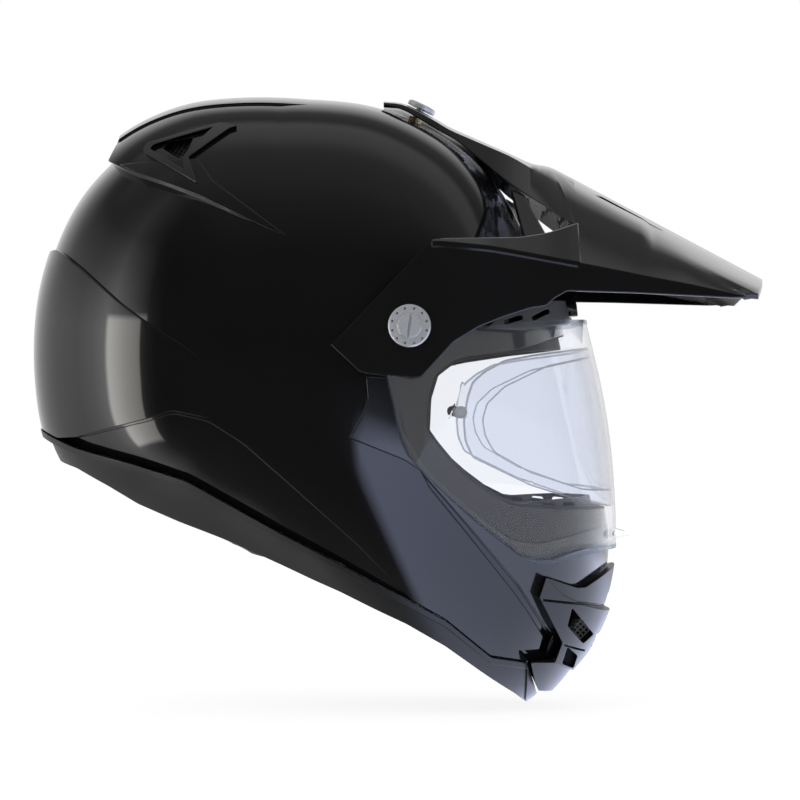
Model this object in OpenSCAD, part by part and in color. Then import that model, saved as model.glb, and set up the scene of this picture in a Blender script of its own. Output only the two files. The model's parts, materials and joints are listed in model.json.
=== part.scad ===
// Enduro helmet: composite shell, peak on three screws, pivoting face shield.
// X points forward, Y to the wearer's left, Z up, with the origin at the centre of the head space.

/* [Shell] */
// Overall width of the shell
shell_w = 258; // [246:1:270]
// Thickness of the shell wall
shell_wall = 4; // [3:0.5:5]
// How far the lower rear panel stands proud
panel_step = 3.5; // [1:0.5:5]
// How far the bottom trim stands proud of the shell
trim_proud = 1.4; // [0.6:0.2:2.4]
// Height of the rear fairing's edge above the shell
fairing_step = 10; // [4:0.5:12]
// Thickness of the crown liner foam over the head
liner_t = 33; // [26:1:36]
// Extra thickness of the liner foam at the sides
liner_side = 6; // [2:1:9]
// Free gap between parts of different bodies
gap = 0.3; // [0.2:0.05:0.5]

/* [Chin] */
// Thickness of the outer chin cover
cover_wall = 3; // [2:0.25:3.5]
// How far the mouth vent stands proud
vent_proud = 3; // [1:0.5:5]
// Thickness of the chin liner foam
chin_foam = 20; // [12:1:24]
// Travel of the mouth vent shutter
shutter_travel = 6; // [3:0.5:7]
// Width of the mouth vent grille
grille_w = 56; // [40:1:64]

/* [Face shield] */
// Thickness of the face shield
shield_t = 2.2; // [1.8:0.1:2.6]
// Distance from the shell skin to the shield's outer face
shield_proud = 5; // [4.6:0.1:5.6]
// Radius of the shield's round ears
ear_r = 18; // [16:0.5:19]
// Radius of the pivot boss that the shield turns on
boss_r = 7; // [5.5:0.25:8]
// Thickness of the anti-fog insert
insert_t = 1.2; // [0.8:0.1:1.6]

/* [Peak] */
// Thickness of the peak moulding
peak_wall = 3; // [2.5:0.25:3.5]
// Length of the peak's bill in front of the window
bill_l = 127; // [110:1:140]
// Room between a pivot boss and the arm of the peak
arm_room = 0.94; // [0.6:0.02:2]
// Width of the slot for the top screw
top_slot_w = 6.6; // [6.2:0.2:8]
// Length of the slot for the top screw
top_slot_l = 20; // [18:1:24]

/* [Screws] */
// Head diameter of the side screws
screw_head_d = 23.6; // [20:0.2:26]
// Shank diameter of the side screws
screw_shank_d = 6; // [5:0.5:7]
// Holes round the head of a side screw
screw_holes = 12; // [8:1:16]
// Head diameter of the top screw
top_head_d = 17; // [14:0.5:20]
// Width of the coin slot in every screw
coin_slot = 1.6; // [1:0.1:2.2]

/* [Fit pads] */
// Thickness of the cheek pads
cheek_t = 34; // [24:1:38]
// Thickness of the crown pad
crown_t = 8; // [6:0.5:10]
// Diameter of the neck roll
roll_d = 20; // [14:1:24]
// Width of the chin strap
strap_w = 25; // [20:1:26]
// Thickness of the chin strap
strap_t = 2.4; // [1.6:0.2:3]

/* [Hidden] */

// Side view of the shell about the head centre, from the brow anticlockwise
shell_side = [[156, 0], [152, 24], [143, 46], [130.5, 68], [117, 93], [99, 113], [77, 128],
    [45.6, 141], [12, 145.5], [-29, 144], [-62, 137.5], [-88, 125.5], [-109, 108.5], [-125, 91],
    [-138, 68], [-147.5, 38], [-151, 7], [-150, -22], [-145, -50], [-132, -75], [-100, -100],
    [-50, -132], [0, -165], [50, -196], [95, -214], [130, -206], [150, -186], [168, -160],
    [178, -132], [180, -105], [174, -70], [166, -35]];
// Side view of the shield's own surface, which stands clear of the brow and the chin
shield_side = [[166, 17], [163.5, 30], [150, 60], [100, 120], [0, 150], [-150, 0], [0, -170],
    [100, -215], [150, -190], [172, -160], [183, -130], [184, -105], [182.5, -75], [179, -43],
    [174.7, -18.7], [170.2, 0]];
side_w = shell_w / 2;
// Exponents of the oval sections across each skin, by angle: the shield is flatter at its ears
shell_powers = [[0, 2.3], [360, 2.3]];
shield_powers = [[0, 3], [60, 3], [300, 2.4], [322, 2.4], [345, 3], [360, 3]];

function turn(p) = (atan2(p[1], p[0]) + 360) % 360;
// A side view as [angle, radius] pairs in order of angle
function polar(side) = let (start = [for (i = [0:len(side) - 1]) if (turn(side[i]) <
    turn(side[(i + len(side) - 1) % len(side)])) i][0])
    [for (k = [0:len(side) - 1]) let (p = side[(start + k) % len(side)]) [turn(p), norm(p)]];
shell_polar = polar(shell_side);
shield_polar = polar(shield_side);

function knot(list, i) = let (n = len(list), w = floor(i / n))
    [list[i - w * n][0] + 360 * w, list[i - w * n][1]];
// Smooth radius through the pairs at an angle
function radius_at(list, angle) =
    let (a = (angle % 360 + 360) % 360,
        below = len([for (p = list) if (p[0] <= a) 1]) - 1,
        p0 = knot(list, below - 1), p1 = knot(list, below),
        p2 = knot(list, below + 1), p3 = knot(list, below + 2),
        h = p2[0] - p1[0], t = (a - p1[0]) / h,
        m1 = (p2[1] - p0[1]) / (p2[0] - p0[0]) * h,
        m2 = (p3[1] - p1[1]) / (p3[0] - p1[0]) * h)
    (2 * t ^ 3 - 3 * t ^ 2 + 1) * p1[1] + (t ^ 3 - 2 * t ^ 2 + t) * m1
    + (3 * t ^ 2 - 2 * t ^ 3) * p2[1] + (t ^ 3 - t ^ 2) * m2;
// A point of an oval skin at an angle in the side view and a tilt towards one side
function skin_point(list, angle, tilt, out, out_side, powers = shell_powers) =
    let (n = lookup(angle, powers), r = (radius_at(list, angle) + out) * cos(tilt) ^ (2 / n),
        y = (side_w + out_side) * sign(tilt) * abs(sin(tilt)) ^ (2 / n))
    [r * cos(angle), y, r * sin(angle)];
// Half width of the skin over a point of the side view
function half_width(x, z, out = 0, list = shell_polar, powers = shell_powers) =
    let (n = lookup(turn([x, z]), powers),
        share = norm([x, z]) / (radius_at(list, atan2(z, x)) + out))
    share >= 1 ? 0 : (side_w + out) * (1 - share ^ n) ^ (1 / n);

// A closed skin, grown by out, with its own growth at the sides
module skin(out, out_side = undef, list = shell_polar, powers = shell_powers, steps = 44,
    rows = 16) {
    wide = is_undef(out_side) ? out : out_side;
    ring = [for (j = [1:rows - 1]) for (i = [0:steps - 1])
        skin_point(list, i * 360 / steps, -90 + 180 * j / rows, out, wide, powers)];
    top = len(ring);
    points = concat(ring, [[0, -side_w - wide, 0], [0, side_w + wide, 0]]);
    function at(i, j) = j * steps + i % steps;
    bands = [for (j = [0:rows - 3]) for (i = [0:steps - 1])
        each [[at(i, j), at(i + 1, j), at(i + 1, j + 1)], [at(i, j), at(i + 1, j + 1), at(i, j + 1)]]];
    ends = [for (i = [0:steps - 1])
        each [[at(i, 0), top, at(i + 1, 0)], [at(i, rows - 2), at(i + 1, rows - 2), top + 1]]];
    polyhedron(points, concat(bands, ends));
}

// An outline whose corners are rounded outwards by r
module rounded(points, r) {
    polygon(points);
    for (i = [0:len(points) - 1])
        hull() {
            translate(points[i]) circle(r, $fn = 8);
            translate(points[(i + 1) % len(points)]) circle(r, $fn = 8);
        }
}

// What is drawn in the side view, carried across from y0 to y1
module across(y0, y1) {
    translate([0, y1, 0]) rotate([90, 0, 0]) linear_extrude(y1 - y0) children();
}

module both_sides() {
    children();
    mirror([0, 1, 0]) children();
}

// A closed solid between two grids of points that have the same rows and columns
module between(outer, inner) {
    rows = len(outer);
    cols = len(outer[0]);
    points = concat([for (row = outer) each row], [for (row = inner) each row]);
    low = rows * cols;
    function at(i, j) = i * cols + j;
    faces = [for (i = [0:rows - 2]) for (j = [0:cols - 2]) each [
        [at(i, j), at(i, j + 1), at(i + 1, j + 1)], [at(i, j), at(i + 1, j + 1), at(i + 1, j)],
        [low + at(i, j), low + at(i + 1, j + 1), low + at(i, j + 1)],
        [low + at(i, j), low + at(i + 1, j), low + at(i + 1, j + 1)]]];
    rim = concat([for (j = [0:cols - 1]) at(0, j)], [for (i = [1:rows - 1]) at(i, cols - 1)],
        [for (j = [cols - 2:-1:0]) at(rows - 1, j)], [for (i = [rows - 2:-1:1]) at(i, 0)]);
    walls = [for (k = [0:len(rim) - 1]) let (a = rim[k], b = rim[(k + 1) % len(rim)])
        each [[a, low + a, low + b], [a, low + b, b]]];
    polyhedron(points, concat(faces, walls));
}

// The inside of the shell wall, which the liner lies against
module inner_skin(out) {
    skin(out, steps = 36, rows = 12);
}

// Side view outlines in real sizes
vent_window = [[-75, 112.5], [-72, 117.5], [-58, 118.5], [-62, 108], [-66, 106.5], [-70, 109]];
trim_top = [[-158, -42], [-140, -50], [-125, -56], [-110, -60], [-90, -65], [-62, -73.5],
    [-56, -76.5], [-28, -92], [-6, -104], [25, -120], [45, -131], [64, -141], [84, -152],
    [97, -163], [110, -174], [131, -178]];
trim_low = [[138, -200], [133.7, -206], [124, -197], [110, -187], [84, -167], [62, -153],
    [25, -134], [-5, -121], [-35, -108], [-66, -98], [-90, -88], [-107, -78], [-126, -68],
    [-140, -64], [-155, -62]];
eye_port = [[158, 10], [125, -1], [98, -5], [88, -7], [78, -15], [74, -28], [73, -46], [78, -53],
    [87, -64], [97, -73], [109, -82], [121, -88], [150, -91], [200, -93], [200, 10]];
cover_side = [[31, -50], [38, -38], [41, -28], [40, -17], [54, -18], [57, -31], [61, -48],
    [76, -70], [92, -84], [108, -98], [120, -107], [135, -110], [200, -96], [200, -176],
    [141, -176], [146, -166], [142, -161], [134, -148], [125, -134], [96, -99], [76, -76],
    [70, -68], [61, -62], [41, -54]];
pivot = [63.7, 11.6];
shield_outline = concat([[168, 17], [140, 15], [104, 11.5]],
    [for (a = [40:20:200]) pivot + ear_r * [cos(a), sin(a)]],
    [[52, -18], [55, -31], [59, -50], [64, -61], [73, -71], [89, -86], [105, -100],
    [121, -112], [130, -119], [138, -121], [149, -121], [160, -118], [172, -115], [200, -112],
    [200, 17]]);

// Distances from the middle plane of what is stacked on the pivots
plate_in = half_width(pivot[0], pivot[1]) + gap;
plate_t = 3;
ear_lift = 1;
shield_flat = plate_in + plate_t + gap + ear_lift;
shield_out = shield_flat + shield_t;
boss_top = shield_out + gap;
arm_in = boss_top + arm_room;
arm_out = arm_in + peak_wall;
head_t = 3;
nut_t = 9;
nut_r = 6;
nut_out = plate_in - gap;
screw_r = screw_shank_d / 2;
hub_rim = 3;
// Room round a turning piece and round a thread that is drawn plain
slip = 0.05;
thread_room = 0.03;
// Radii of the insert's pin and its collar, with the pin's place and lean on the right side
pin_r = 2.2;
collar_r = 3.4;
pin_at = [91.5, -36];
pin_lean = 10;
// Place and height of the mouth grille, its slots, its edge in the shell and the shutter's rails
grille_x = 155;
grille_z = [-161.5, -128.3];
grille_slots = 7;
grille_edge = 4;
rail_t = 5;
// How far one moulded wall of the peak is set into the next, and where its bill runs
lap = 0.2;
bill_start = 157;
bill_end = 253;
// Room under the top screw's head for the peak's tilt, and the sizes of the screw and its nut
tilt_room = 1.5;
top_shank_r = 2.5;
barrel_r = 4;
flange_r = 7.5;
nut_low = -14.5;
// Middle of the straps along X, the rings' bars as [y, z], and the radius of the ring wire
strap_x = 28;
ring_at = [30, -119.8];
ring_r = 1.6;

shell_colour = [0.05, 0.05, 0.055];
trim_colour = [0.2, 0.2, 0.21];

module at_pivot(depth) {
    translate([pivot[0], -depth, pivot[1]]) rotate([90, 0, 0]) children();
}

// Grooved creases pressed into the side of the shell
module crease(line, depth) {
    for (i = [0:len(line) - 2])
        hull() for (p = [line[i], line[i + 1]])
            translate([p[0], -half_width(p[0], p[1]), p[1]]) rotate([10, 20, 33]) sphere(depth, $fn = 4);
}

// The rear fairing is the shell's own skin set back, so that it runs out forwards and sideways
fairing_shift = [-fairing_step, 0, fairing_step / 4];

module outer_shell() {
    fairing = [[0, 150], [-74, 150], [-104, 124.5], [-103, 121], [-108, 107],
        [-54, 86], [-36, 76], [-2, 60], [11.3, 101.7]];
    rear_panel = [[-160, 56], [-138, 57], [-123, 46], [-98, 25], [-84, 15], [-63, 2], [-48, -9],
        [-27, -24], [-32, -42], [-48, -39], [-68, -35], [-80, -39], [-120, -49], [-160, -60]];
    chin_bar = [[105, -101], [126, -110], [200, -104.5], [200, -190], [120, -190], [107, -150]];
    wedge = [[-60, 106], [-46, 92], [-2, 60]];
    low_line = [[-119, -49.7], [-80.6, -40.8], [-67.3, -36.6], [-47.7, -41], [-28.7, -53], [-4, -74.7],
        [35.3, -110]];
    color(shell_colour)
    difference() {
        union() {
            difference() {
                union() {
                    skin(0);
                    intersection() {
                        translate(fairing_shift) skin(0);
                        across(-shell_w, shell_w) polygon(fairing);
                    }
                    intersection() {
                        translate([-panel_step, 0, -panel_step / 3]) skin(0);
                        across(-shell_w, shell_w) polygon(rear_panel);
                    }
                }
                inner_skin(-shell_wall);
            }
            intersection() {
                difference() {
                    skin(-shell_wall / 2);
                    skin(-shell_wall - cover_wall - gap);
                }
                across(-shell_w, shell_w) polygon(chin_bar);
            }
            both_sides() intersection() {
                at_pivot(nut_out - nut_t) cylinder(h = nut_t - 1, r = ear_r + 8, $fn = 24);
                skin(-shell_wall / 2);
            }
        }
        both_sides() {
            at_pivot(shield_flat - 2 * gap) cylinder(h = 20, r = ear_r + 5, $fn = 29);
            at_pivot(nut_out) cylinder(h = 20, r = ear_r - 1, $fn = 28);
            at_pivot(plate_in - 20) cylinder(h = 20, r = nut_r + gap, $fn = 20);
            crease(wedge, 1.6);
            crease(low_line, 1.4);
        }
        across(-shell_w, shell_w) polygon(eye_port);
        across(-shell_w, shell_w) polygon(concat([[-170, -40]], trim_top,
            [[220, -178], [220, -300], [-170, -300]]));
        difference() {
            across(-shell_w, shell_w) {
                offset(delta = 0.3 + gap) polygon(cover_side);
                polygon([[134, -172], [220, -172], [220, -220], [134, -220]]);
            }
            skin(-cover_wall - gap);
        }
        across(-grille_w / 2 - grille_edge, grille_w / 2 + grille_edge) polygon([[120, -128],
            [220, -128], [220, -172], [120, -172]]);
        top_screw_place(-30) cylinder(h = 40, r = barrel_r + gap, $fn = 24);
        both_sides() across(39 - side_w, 89 - side_w) polygon(vent_window);
    }
}

module lower_trim() {
    color(trim_colour)
    intersection() {
        difference() {
            union() {
                skin(trim_proud);
                translate([-3, 0, -1]) skin(trim_proud);
            }
            skin(-shell_wall - 4);
            translate([0, 0, gap]) across(-shell_w, shell_w)
                polygon(concat([[160, 0], [-170, 0]], trim_top));
        }
        across(-shell_w, shell_w) rounded(concat([for (p = trim_top) p - [0, 2 * gap]], trim_low),
            gap);
    }
}

module eye_port_gasket() {
    middle = [140, -42];
    color([0.12, 0.12, 0.13])
    intersection() {
        difference() {
            skin(-gap);
            skin(-9);
        }
        across(-shell_w, shell_w) difference() {
            offset(delta = -gap) polygon(eye_port);
            rounded([for (p = eye_port) [p[0] > 150 ? 220 : middle[0] + (p[0] - middle[0]) * 0.9,
                middle[1] + (p[1] - middle[1]) * 0.87]], 0.5);
        }
    }
}

// How far the head space lies inside the shell's skin, over the crown and at the sides
cavity_out = -shell_wall - liner_t;
cavity_side = cavity_out - liner_side;

module crown_liner() {
    liner = [[150, 20], [128, 5], [98, 3], [80, -2], [66, -14], [60, -32], [-10, -36], [-34, -60],
        [-78, -64], [-112, -48], [-160, -38], [-160, 160], [120, 160]];
    color([0.16, 0.16, 0.17])
    intersection() {
        difference() {
            inner_skin(-shell_wall - gap);
            skin(cavity_out, cavity_side, steps = 32, rows = 12);
            for (y = [-36, 0, 36]) channel(y);
            both_sides() at_pivot(90) cylinder(h = 60, r = ear_r + 9, $fn = 32);
            top_screw_place(-30) cylinder(h = 40, r = flange_r + 1, $fn = 24);
        }
        across(-shell_w, shell_w) polygon(liner);
    }
}

// An air channel that runs over the head along the inside of the crown liner
module channel(y) {
    for (a = [34:38:150])
        hull() for (b = [a, a + 38])
            translate([(cavity_radius(b)) * cos(b), y, (cavity_radius(b)) * sin(b)])
                rotate([0, -b, 0]) cube([8, 8, 3], center = true);
}
function cavity_radius(angle) = radius_at(shell_polar, angle) - shell_wall - liner_t - 6;

module chin_liner() {
    color([0.16, 0.16, 0.17])
    intersection() {
        difference() {
            skin(-shell_wall - cover_wall - 2 * gap);
            skin(-shell_wall - cover_wall - chin_foam, steps = 32, rows = 12);
            across(-grille_w / 2 - 6, grille_w / 2 + 6) polygon([[100, -122], [220, -122],
                [220, -176], [100, -176]]);
        }
        across(-shell_w, shell_w) rounded([[122, -104], [140, -104], [200, -104], [200, -150],
            [200, -176], [130, -176], [124, -168], [122, -150]], 0.5);
    }
}

// A cushion laid along a skin between two angles and two tilts, with sewn channels across it
module laid_cushion(angles, tilts, out, out_side, thick, rows, cols, channels) {
    function swell(u, v) = let (e = (1 - (2 * u - 1) ^ 4) * (1 - (2 * v - 1) ^ 4),
        line = min([for (c = channels) min(1, abs(v - c) / 0.08)]))
        0.25 + 0.75 * e ^ 0.4 * (0.55 + 0.45 * line);
    function face(share) = [for (i = [0:rows]) [for (j = [0:cols])
        let (u = i / rows, v = j / cols, t = share * thick * swell(u, v))
        skin_point(shell_polar, angles[0] + (angles[1] - angles[0]) * u,
            tilts[0] + (tilts[1] - tilts[0]) * v, out - t, out_side - t)]];
    between(face(1), face(0));
}

module crown_pad() {
    color([0.1, 0.1, 0.11])
    laid_cushion([34, 160], [-48, 48], cavity_out - 2, cavity_side - 2, crown_t, 10, 16,
        [0.25, 0.5, 0.75]);
}

// A cheek cushion between the shell wall and the face, crowned and tucked in round its rim
module cheek_pad() {
    middle = [54, -84];
    reach = [[0, 48], [40, 34], [80, 34], [120, 44], [160, 54], [200, 52], [225, 38], [248, 34],
        [262, 46], [285, 47], [310, 45], [360, 48]];
    rings = 6;
    steps = 24;
    function spot(k, i) = let (a = i * 360 / steps) middle + lookup(a, reach) * k / rings
        * [cos(a), 0.9 * sin(a)];
    function wall(p) = half_width(p[0], p[1], -shell_wall - strap_t - 6)
        - max(0, -85 - p[1]) * 0.37;
    function depth(k) = cheek_t * (0.3 + 0.7 * (1 - (k / rings) ^ 4) ^ 0.5) * (k == 4 ? 0.9 : 1);
    function face(share) = [for (k = [0:rings]) [for (i = [0:steps]) let (p = spot(k, i % steps))
        [p[0], share * depth(k) - wall(p), p[1]]]];
    function at(k, i) = k * steps + i % steps;
    outside = [for (k = [0:rings]) for (i = [0:steps - 1]) face(0)[k][i]];
    inside = [for (k = [0:rings]) for (i = [0:steps - 1]) face(1)[k][i]];
    low = len(outside);
    fan = [for (i = [0:steps - 1]) each [[at(0, 0), at(1, i + 1), at(1, i)],
        [low, low + at(1, i), low + at(1, i + 1)]]];
    disc = [for (k = [1:rings - 1]) for (i = [0:steps - 1]) each [
        [at(k, i), at(k, i + 1), at(k + 1, i + 1)], [at(k, i), at(k + 1, i + 1), at(k + 1, i)],
        [low + at(k, i), low + at(k + 1, i + 1), low + at(k, i + 1)],
        [low + at(k, i), low + at(k + 1, i), low + at(k + 1, i + 1)]]];
    edge = [for (i = [0:steps - 1]) each [
        [at(rings, i), at(rings, i + 1), low + at(rings, i + 1)],
        [at(rings, i), low + at(rings, i + 1), low + at(rings, i)]]];
    color([0.1, 0.1, 0.11])
    polyhedron(concat(outside, inside), concat(fan, disc, edge));
}

// The neck roll runs round the back of the neck opening along the inside of the trim
module neck_roll() {
    half_turn = 93;
    rings = 32;
    sides = 10;
    function centre(a) = let (x = 2 - 112 * cos(a))
        [x, (side_w - 58) * sin(a), -65 - 0.447 * (x + 107)];
    function tangent(a) = let (d = centre(a + 2) - centre(a - 2)) d / norm(d);
    function hoop(a, s) = let (t = tangent(a), b = cross(t, [0, 0, 1]), n = b / norm(b),
        m = cross(n, t), tuck = abs(a) > half_turn - 8 ? 0.7 : 1)
        centre(a) + roll_d / 2 * tuck * (cos(s) * n + 1.15 * sin(s) * m);
    points = [for (i = [0:rings]) for (k = [0:sides - 1])
        hoop(-half_turn + 2 * half_turn * i / rings, 360 * k / sides)];
    function at(i, k) = i * sides + k % sides;
    walls = [for (i = [0:rings - 1]) for (k = [0:sides - 1]) each [
        [at(i, k), at(i + 1, k + 1), at(i + 1, k)], [at(i, k), at(i, k + 1), at(i + 1, k + 1)]]];
    ends = [[for (k = [0:sides - 1]) at(0, sides - 1 - k)], [for (k = [0:sides - 1]) at(rings, k)]];
    color([0.3, 0.3, 0.31])
    polyhedron(points, concat(walls, ends));
}

module breath_deflector() {
    color([0.14, 0.14, 0.15])
    intersection() {
        difference() {
            skin(-9 - gap);
            skin(-11.5 - gap);
            for (x = [128, 140, 152])
                across(-100, 100) hull() {
                    translate([x, -96]) circle(1.6, $fn = 6);
                    translate([x + 6, -96.5]) circle(1.6, $fn = 6);
                }
            for (y = [-40, -24, -8, 8, 24, 40])
                translate([120, y - 4, -99]) cube([80, 8, 3]);
        }
        across(-shell_w, shell_w) rounded([[112, -94], [124, -84], [150, -82], [200, -78],
            [200, -102], [180, -102], [150, -102], [124, -101]], 1);
    }
}

module chin_cover() {
    vent_hole = [[139, -128], [159, -134.5], [164, -134.5], [171, -130.5], [183, -122],
        [215, -120], [215, -215], [132, -215], [132, -176.5], [146, -177.5], [149.5, -166.5],
        [135.5, -140]];
    groove = [[98, -99], [116, -120], [127, -134], [135, -147]];
    color([0.16, 0.17, 0.19])
    difference() {
        intersection() {
            difference() {
                skin(0);
                skin(-cover_wall);
            }
            across(-shell_w, shell_w) rounded(cover_side, 0.3);
        }
        across(-shell_w, shell_w) polygon(vent_hole);
        both_sides() crease(groove, 1.6);
        across(-shell_w, shell_w) hull() {
            translate([190, -101]) circle(1, $fn = 12);
            translate([200, -101]) circle(1, $fn = 12);
        }
    }
}

module mouth_vent_frame() {
    front = [[141.5, -129.5], [159, -136.5], [164, -136.5], [171, -132.5], [184, -125],
        [185, -133], [185, -146], [184, -152], [180, -152], [179, -162], [175, -166], [172, -164],
        [171, -173], [169, -179], [167, -177], [160, -184], [148, -198], [138, -196],
        [136.5, -190], [134.6, -178.5], [147.5, -179.5], [151.5, -167.5], [137.5, -140.5]];
    upper_intake = [[155, -144], [153, -153], [160, -162], [167, -160]];
    lower_intake = [[155, -168], [150, -179], [158, -177]];
    color([0.13, 0.13, 0.14])
    intersection() {
        difference() {
            skin(vent_proud + 6);
            skin(-cover_wall);
            both_sides() across(26, 90) rounded(upper_intake, 0.5);
            both_sides() across(24, 90) rounded(lower_intake, 0.5);
            for (z = [-149, -172])
                translate([0, -20, z]) cube([240, 40, 8]);
            both_sides() crease([[171, -134], [160, -150], [150, -166]], 1.2);
        }
        across(-shell_w, shell_w) polygon(front);
    }
}

module mouth_vent_grille() {
    pitch = (grille_w - 10) / grille_slots;
    height = grille_z[1] - grille_z[0];
    color([0.1, 0.1, 0.11])
    difference() {
        union() {
            translate([grille_x, -grille_w / 2 - grille_edge + gap, grille_z[0]])
                cube([2, grille_w + 2 * (grille_edge - gap), height]);
            both_sides() translate([grille_x - rail_t, -grille_w / 2, grille_z[0]])
                cube([rail_t + 0.1, 2, height]);
            both_sides() translate([grille_x - rail_t, -grille_w / 2, grille_z[0]])
                cube([1.6, 5, height]);
        }
        for (i = [0:grille_slots - 1])
            for (z = [grille_z[0] + 3, grille_z[0] + 18])
                translate([grille_x - 1, -grille_w / 2 + 5 + (i + 0.2) * pitch, z])
                    cube([4, 0.6 * pitch, 12]);
    }
}

module mouth_vent_shutter() {
    pitch = (grille_w - 10) / grille_slots;
    low = grille_z[0] + 1;
    height = grille_z[1] - grille_z[0] - shutter_travel - 2;
    plate = rail_t - 1.6 - 2 * gap;
    color([0.2, 0.2, 0.21])
    difference() {
        union() {
            translate([grille_x - gap - plate, -grille_w / 2 + 2 + gap, low])
                cube([plate, grille_w - 4 - 2 * gap, height]);
            translate([grille_x - gap - plate - 5, -6, low + height - 6]) cube([6, 12, 3]);
        }
        for (i = [0:grille_slots - 1])
            translate([grille_x - 8, -grille_w / 2 + 5 + (i + 0.25) * pitch, low + 4])
                cube([8, 0.5 * pitch, 10]);
    }
}

module brow_vent() {
    slots = [[[118, 14.5], [126, 17]], [[134, 17], [142, 21]]];
    color([0.45, 0.46, 0.48])
    intersection() {
        difference() {
            skin(5.5);
            skin(gap);
            for (s = slots)
                both_sides() across(20, 120) hull() for (p = s) translate(p) circle(1.3, $fn = 16);
            across(-30, 30) polygon([[140, 18.5], [170, 18.5], [170, 40], [140, 40]]);
        }
        across(-shell_w, shell_w) rounded([[107, 11], [114, 17.5], [124, 21.5], [132, 24],
            [145, 27], [158, 28], [160, 20], [160, 16.5], [140, 12.5], [128, 10]], 0.3);
    }
}

module brow_cap() {
    color(shell_colour)
    intersection() {
        across(-18, 18) translate(pivot) circle(98.4, $fn = 180);
        translate([pivot[0], 0, 26]) rotate([0, 90, 0]) cylinder(h = 110, r1 = 18, r2 = 17.5);
        difference() {
            across(-18, 18) rounded([[146, 20], [156, 19.7], [165, 20], [165, 34], [162, 35.6],
                [158, 37], [152, 39], [146, 40]], 0.4);
            skin(gap);
        }
    }
}

module shield_skin(inwards) {
    intersection() {
        skin(-inwards, shield_proud - inwards, shield_polar, shield_powers, 48, 16);
        cube([600, 2 * (shield_out - inwards), 600], center = true);
    }
}

module face_shield() {
    color([0.8, 0.84, 0.9, 0.35])
    union() {
        difference() {
            intersection() {
                difference() {
                    shield_skin(0);
                    shield_skin(shield_t);
                }
                across(-shell_w, shell_w) rounded(shield_outline, 0.4);
            }
            both_sides() at_pivot(0) cylinder(h = shell_w, r = boss_r + hub_rim + gap, $fn = 40);
            both_sides() insert_pin_place() cylinder(h = 16, r = pin_r + 0.1, center = true,
                $fn = 20);
        }
        hull() {
            translate([183, -14, -110]) sphere(1.2, $fn = 12);
            translate([183, 14, -110]) sphere(1.2, $fn = 12);
            translate([190, -11, -108.5]) sphere(1.1, $fn = 12);
            translate([190, 11, -108.5]) sphere(1.1, $fn = 12);
        }
    }
}

// The ring of a shield ear that turns on the pivot boss
module shield_hub() {
    color([0.6, 0.62, 0.66])
    difference() {
        at_pivot(shield_flat) cylinder(h = shield_t, r = boss_r + hub_rim);
        at_pivot(shield_flat - 1) cylinder(h = shield_t + 2, r = boss_r + slip);
    }
}

insert_outer = [[168, 1], [132, -4], [116, -7], [105, -13], [98, -19], [95, -28], [93, -41],
    [94, -52], [98, -61], [131, -77], [159, -86], [176, -90], [200, -92], [200, 1]];
module antifog_insert() {
    color([0.82, 0.85, 0.92, 0.4])
    intersection() {
        difference() {
            shield_skin(shield_t + 0.6);
            shield_skin(shield_t + 0.6 + insert_t);
        }
        across(-shell_w, shell_w) rounded(insert_outer, 0.3);
        difference() {
            cube(600, center = true);
            both_sides() insert_pin_place() cylinder(h = 20, r = collar_r + gap, center = true,
                $fn = 20);
        }
    }
}

module insert_pin_place() {
    y = half_width(pin_at[0], pin_at[1], shield_proud, shield_polar, shield_powers);
    translate([pin_at[0], -y, pin_at[1]]) rotate([90, 0, pin_lean]) children();
}

module insert_pin() {
    color([0.78, 0.8, 0.84])
    insert_pin_place() {
        cylinder(h = 9, r = pin_r, center = true);
        translate([0, 0, 2.6]) cylinder(h = 1.4, r = collar_r);
        translate([0, 0, -5]) cylinder(h = 1.4, r = 3.2);
    }
}

module pivot_plate() {
    stud_ring = ear_r - 4.6;
    color([0.3, 0.3, 0.31])
    difference() {
        union() {
            at_pivot(plate_in) cylinder(h = plate_t, r = ear_r - 1 - gap);
            at_pivot(plate_in) cylinder(h = plate_t + ear_lift, r = boss_r + hub_rim);
            at_pivot(plate_in) cylinder(h = boss_top - plate_in, r = boss_r);
        }
        at_pivot(plate_in - 1) cylinder(h = boss_top - plate_in + 2, r = screw_r + slip);
        for (a = [45:90:315])
            at_pivot(plate_in - 1) translate([stud_ring * cos(a), stud_ring * sin(a), 0])
                cylinder(h = plate_t + 2, r = 1.7);
    }
}

module shell_nut() {
    color([0.72, 0.6, 0.35])
    difference() {
        at_pivot(nut_out - nut_t) cylinder(h = nut_t, r = nut_r);
        at_pivot(nut_out - nut_t - 1) cylinder(h = nut_t + 3, r = screw_r + thread_room);
    }
}

module peak_bush() {
    color([0.25, 0.25, 0.26])
    difference() {
        union() {
            at_pivot(boss_top) cylinder(h = arm_in - lap - 0.1 - boss_top, r = 9);
            at_pivot(boss_top) cylinder(h = arm_out - boss_top, r = 5.95);
        }
        at_pivot(boss_top - 1) cylinder(h = 20, r = screw_r + slip);
    }
}

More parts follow.
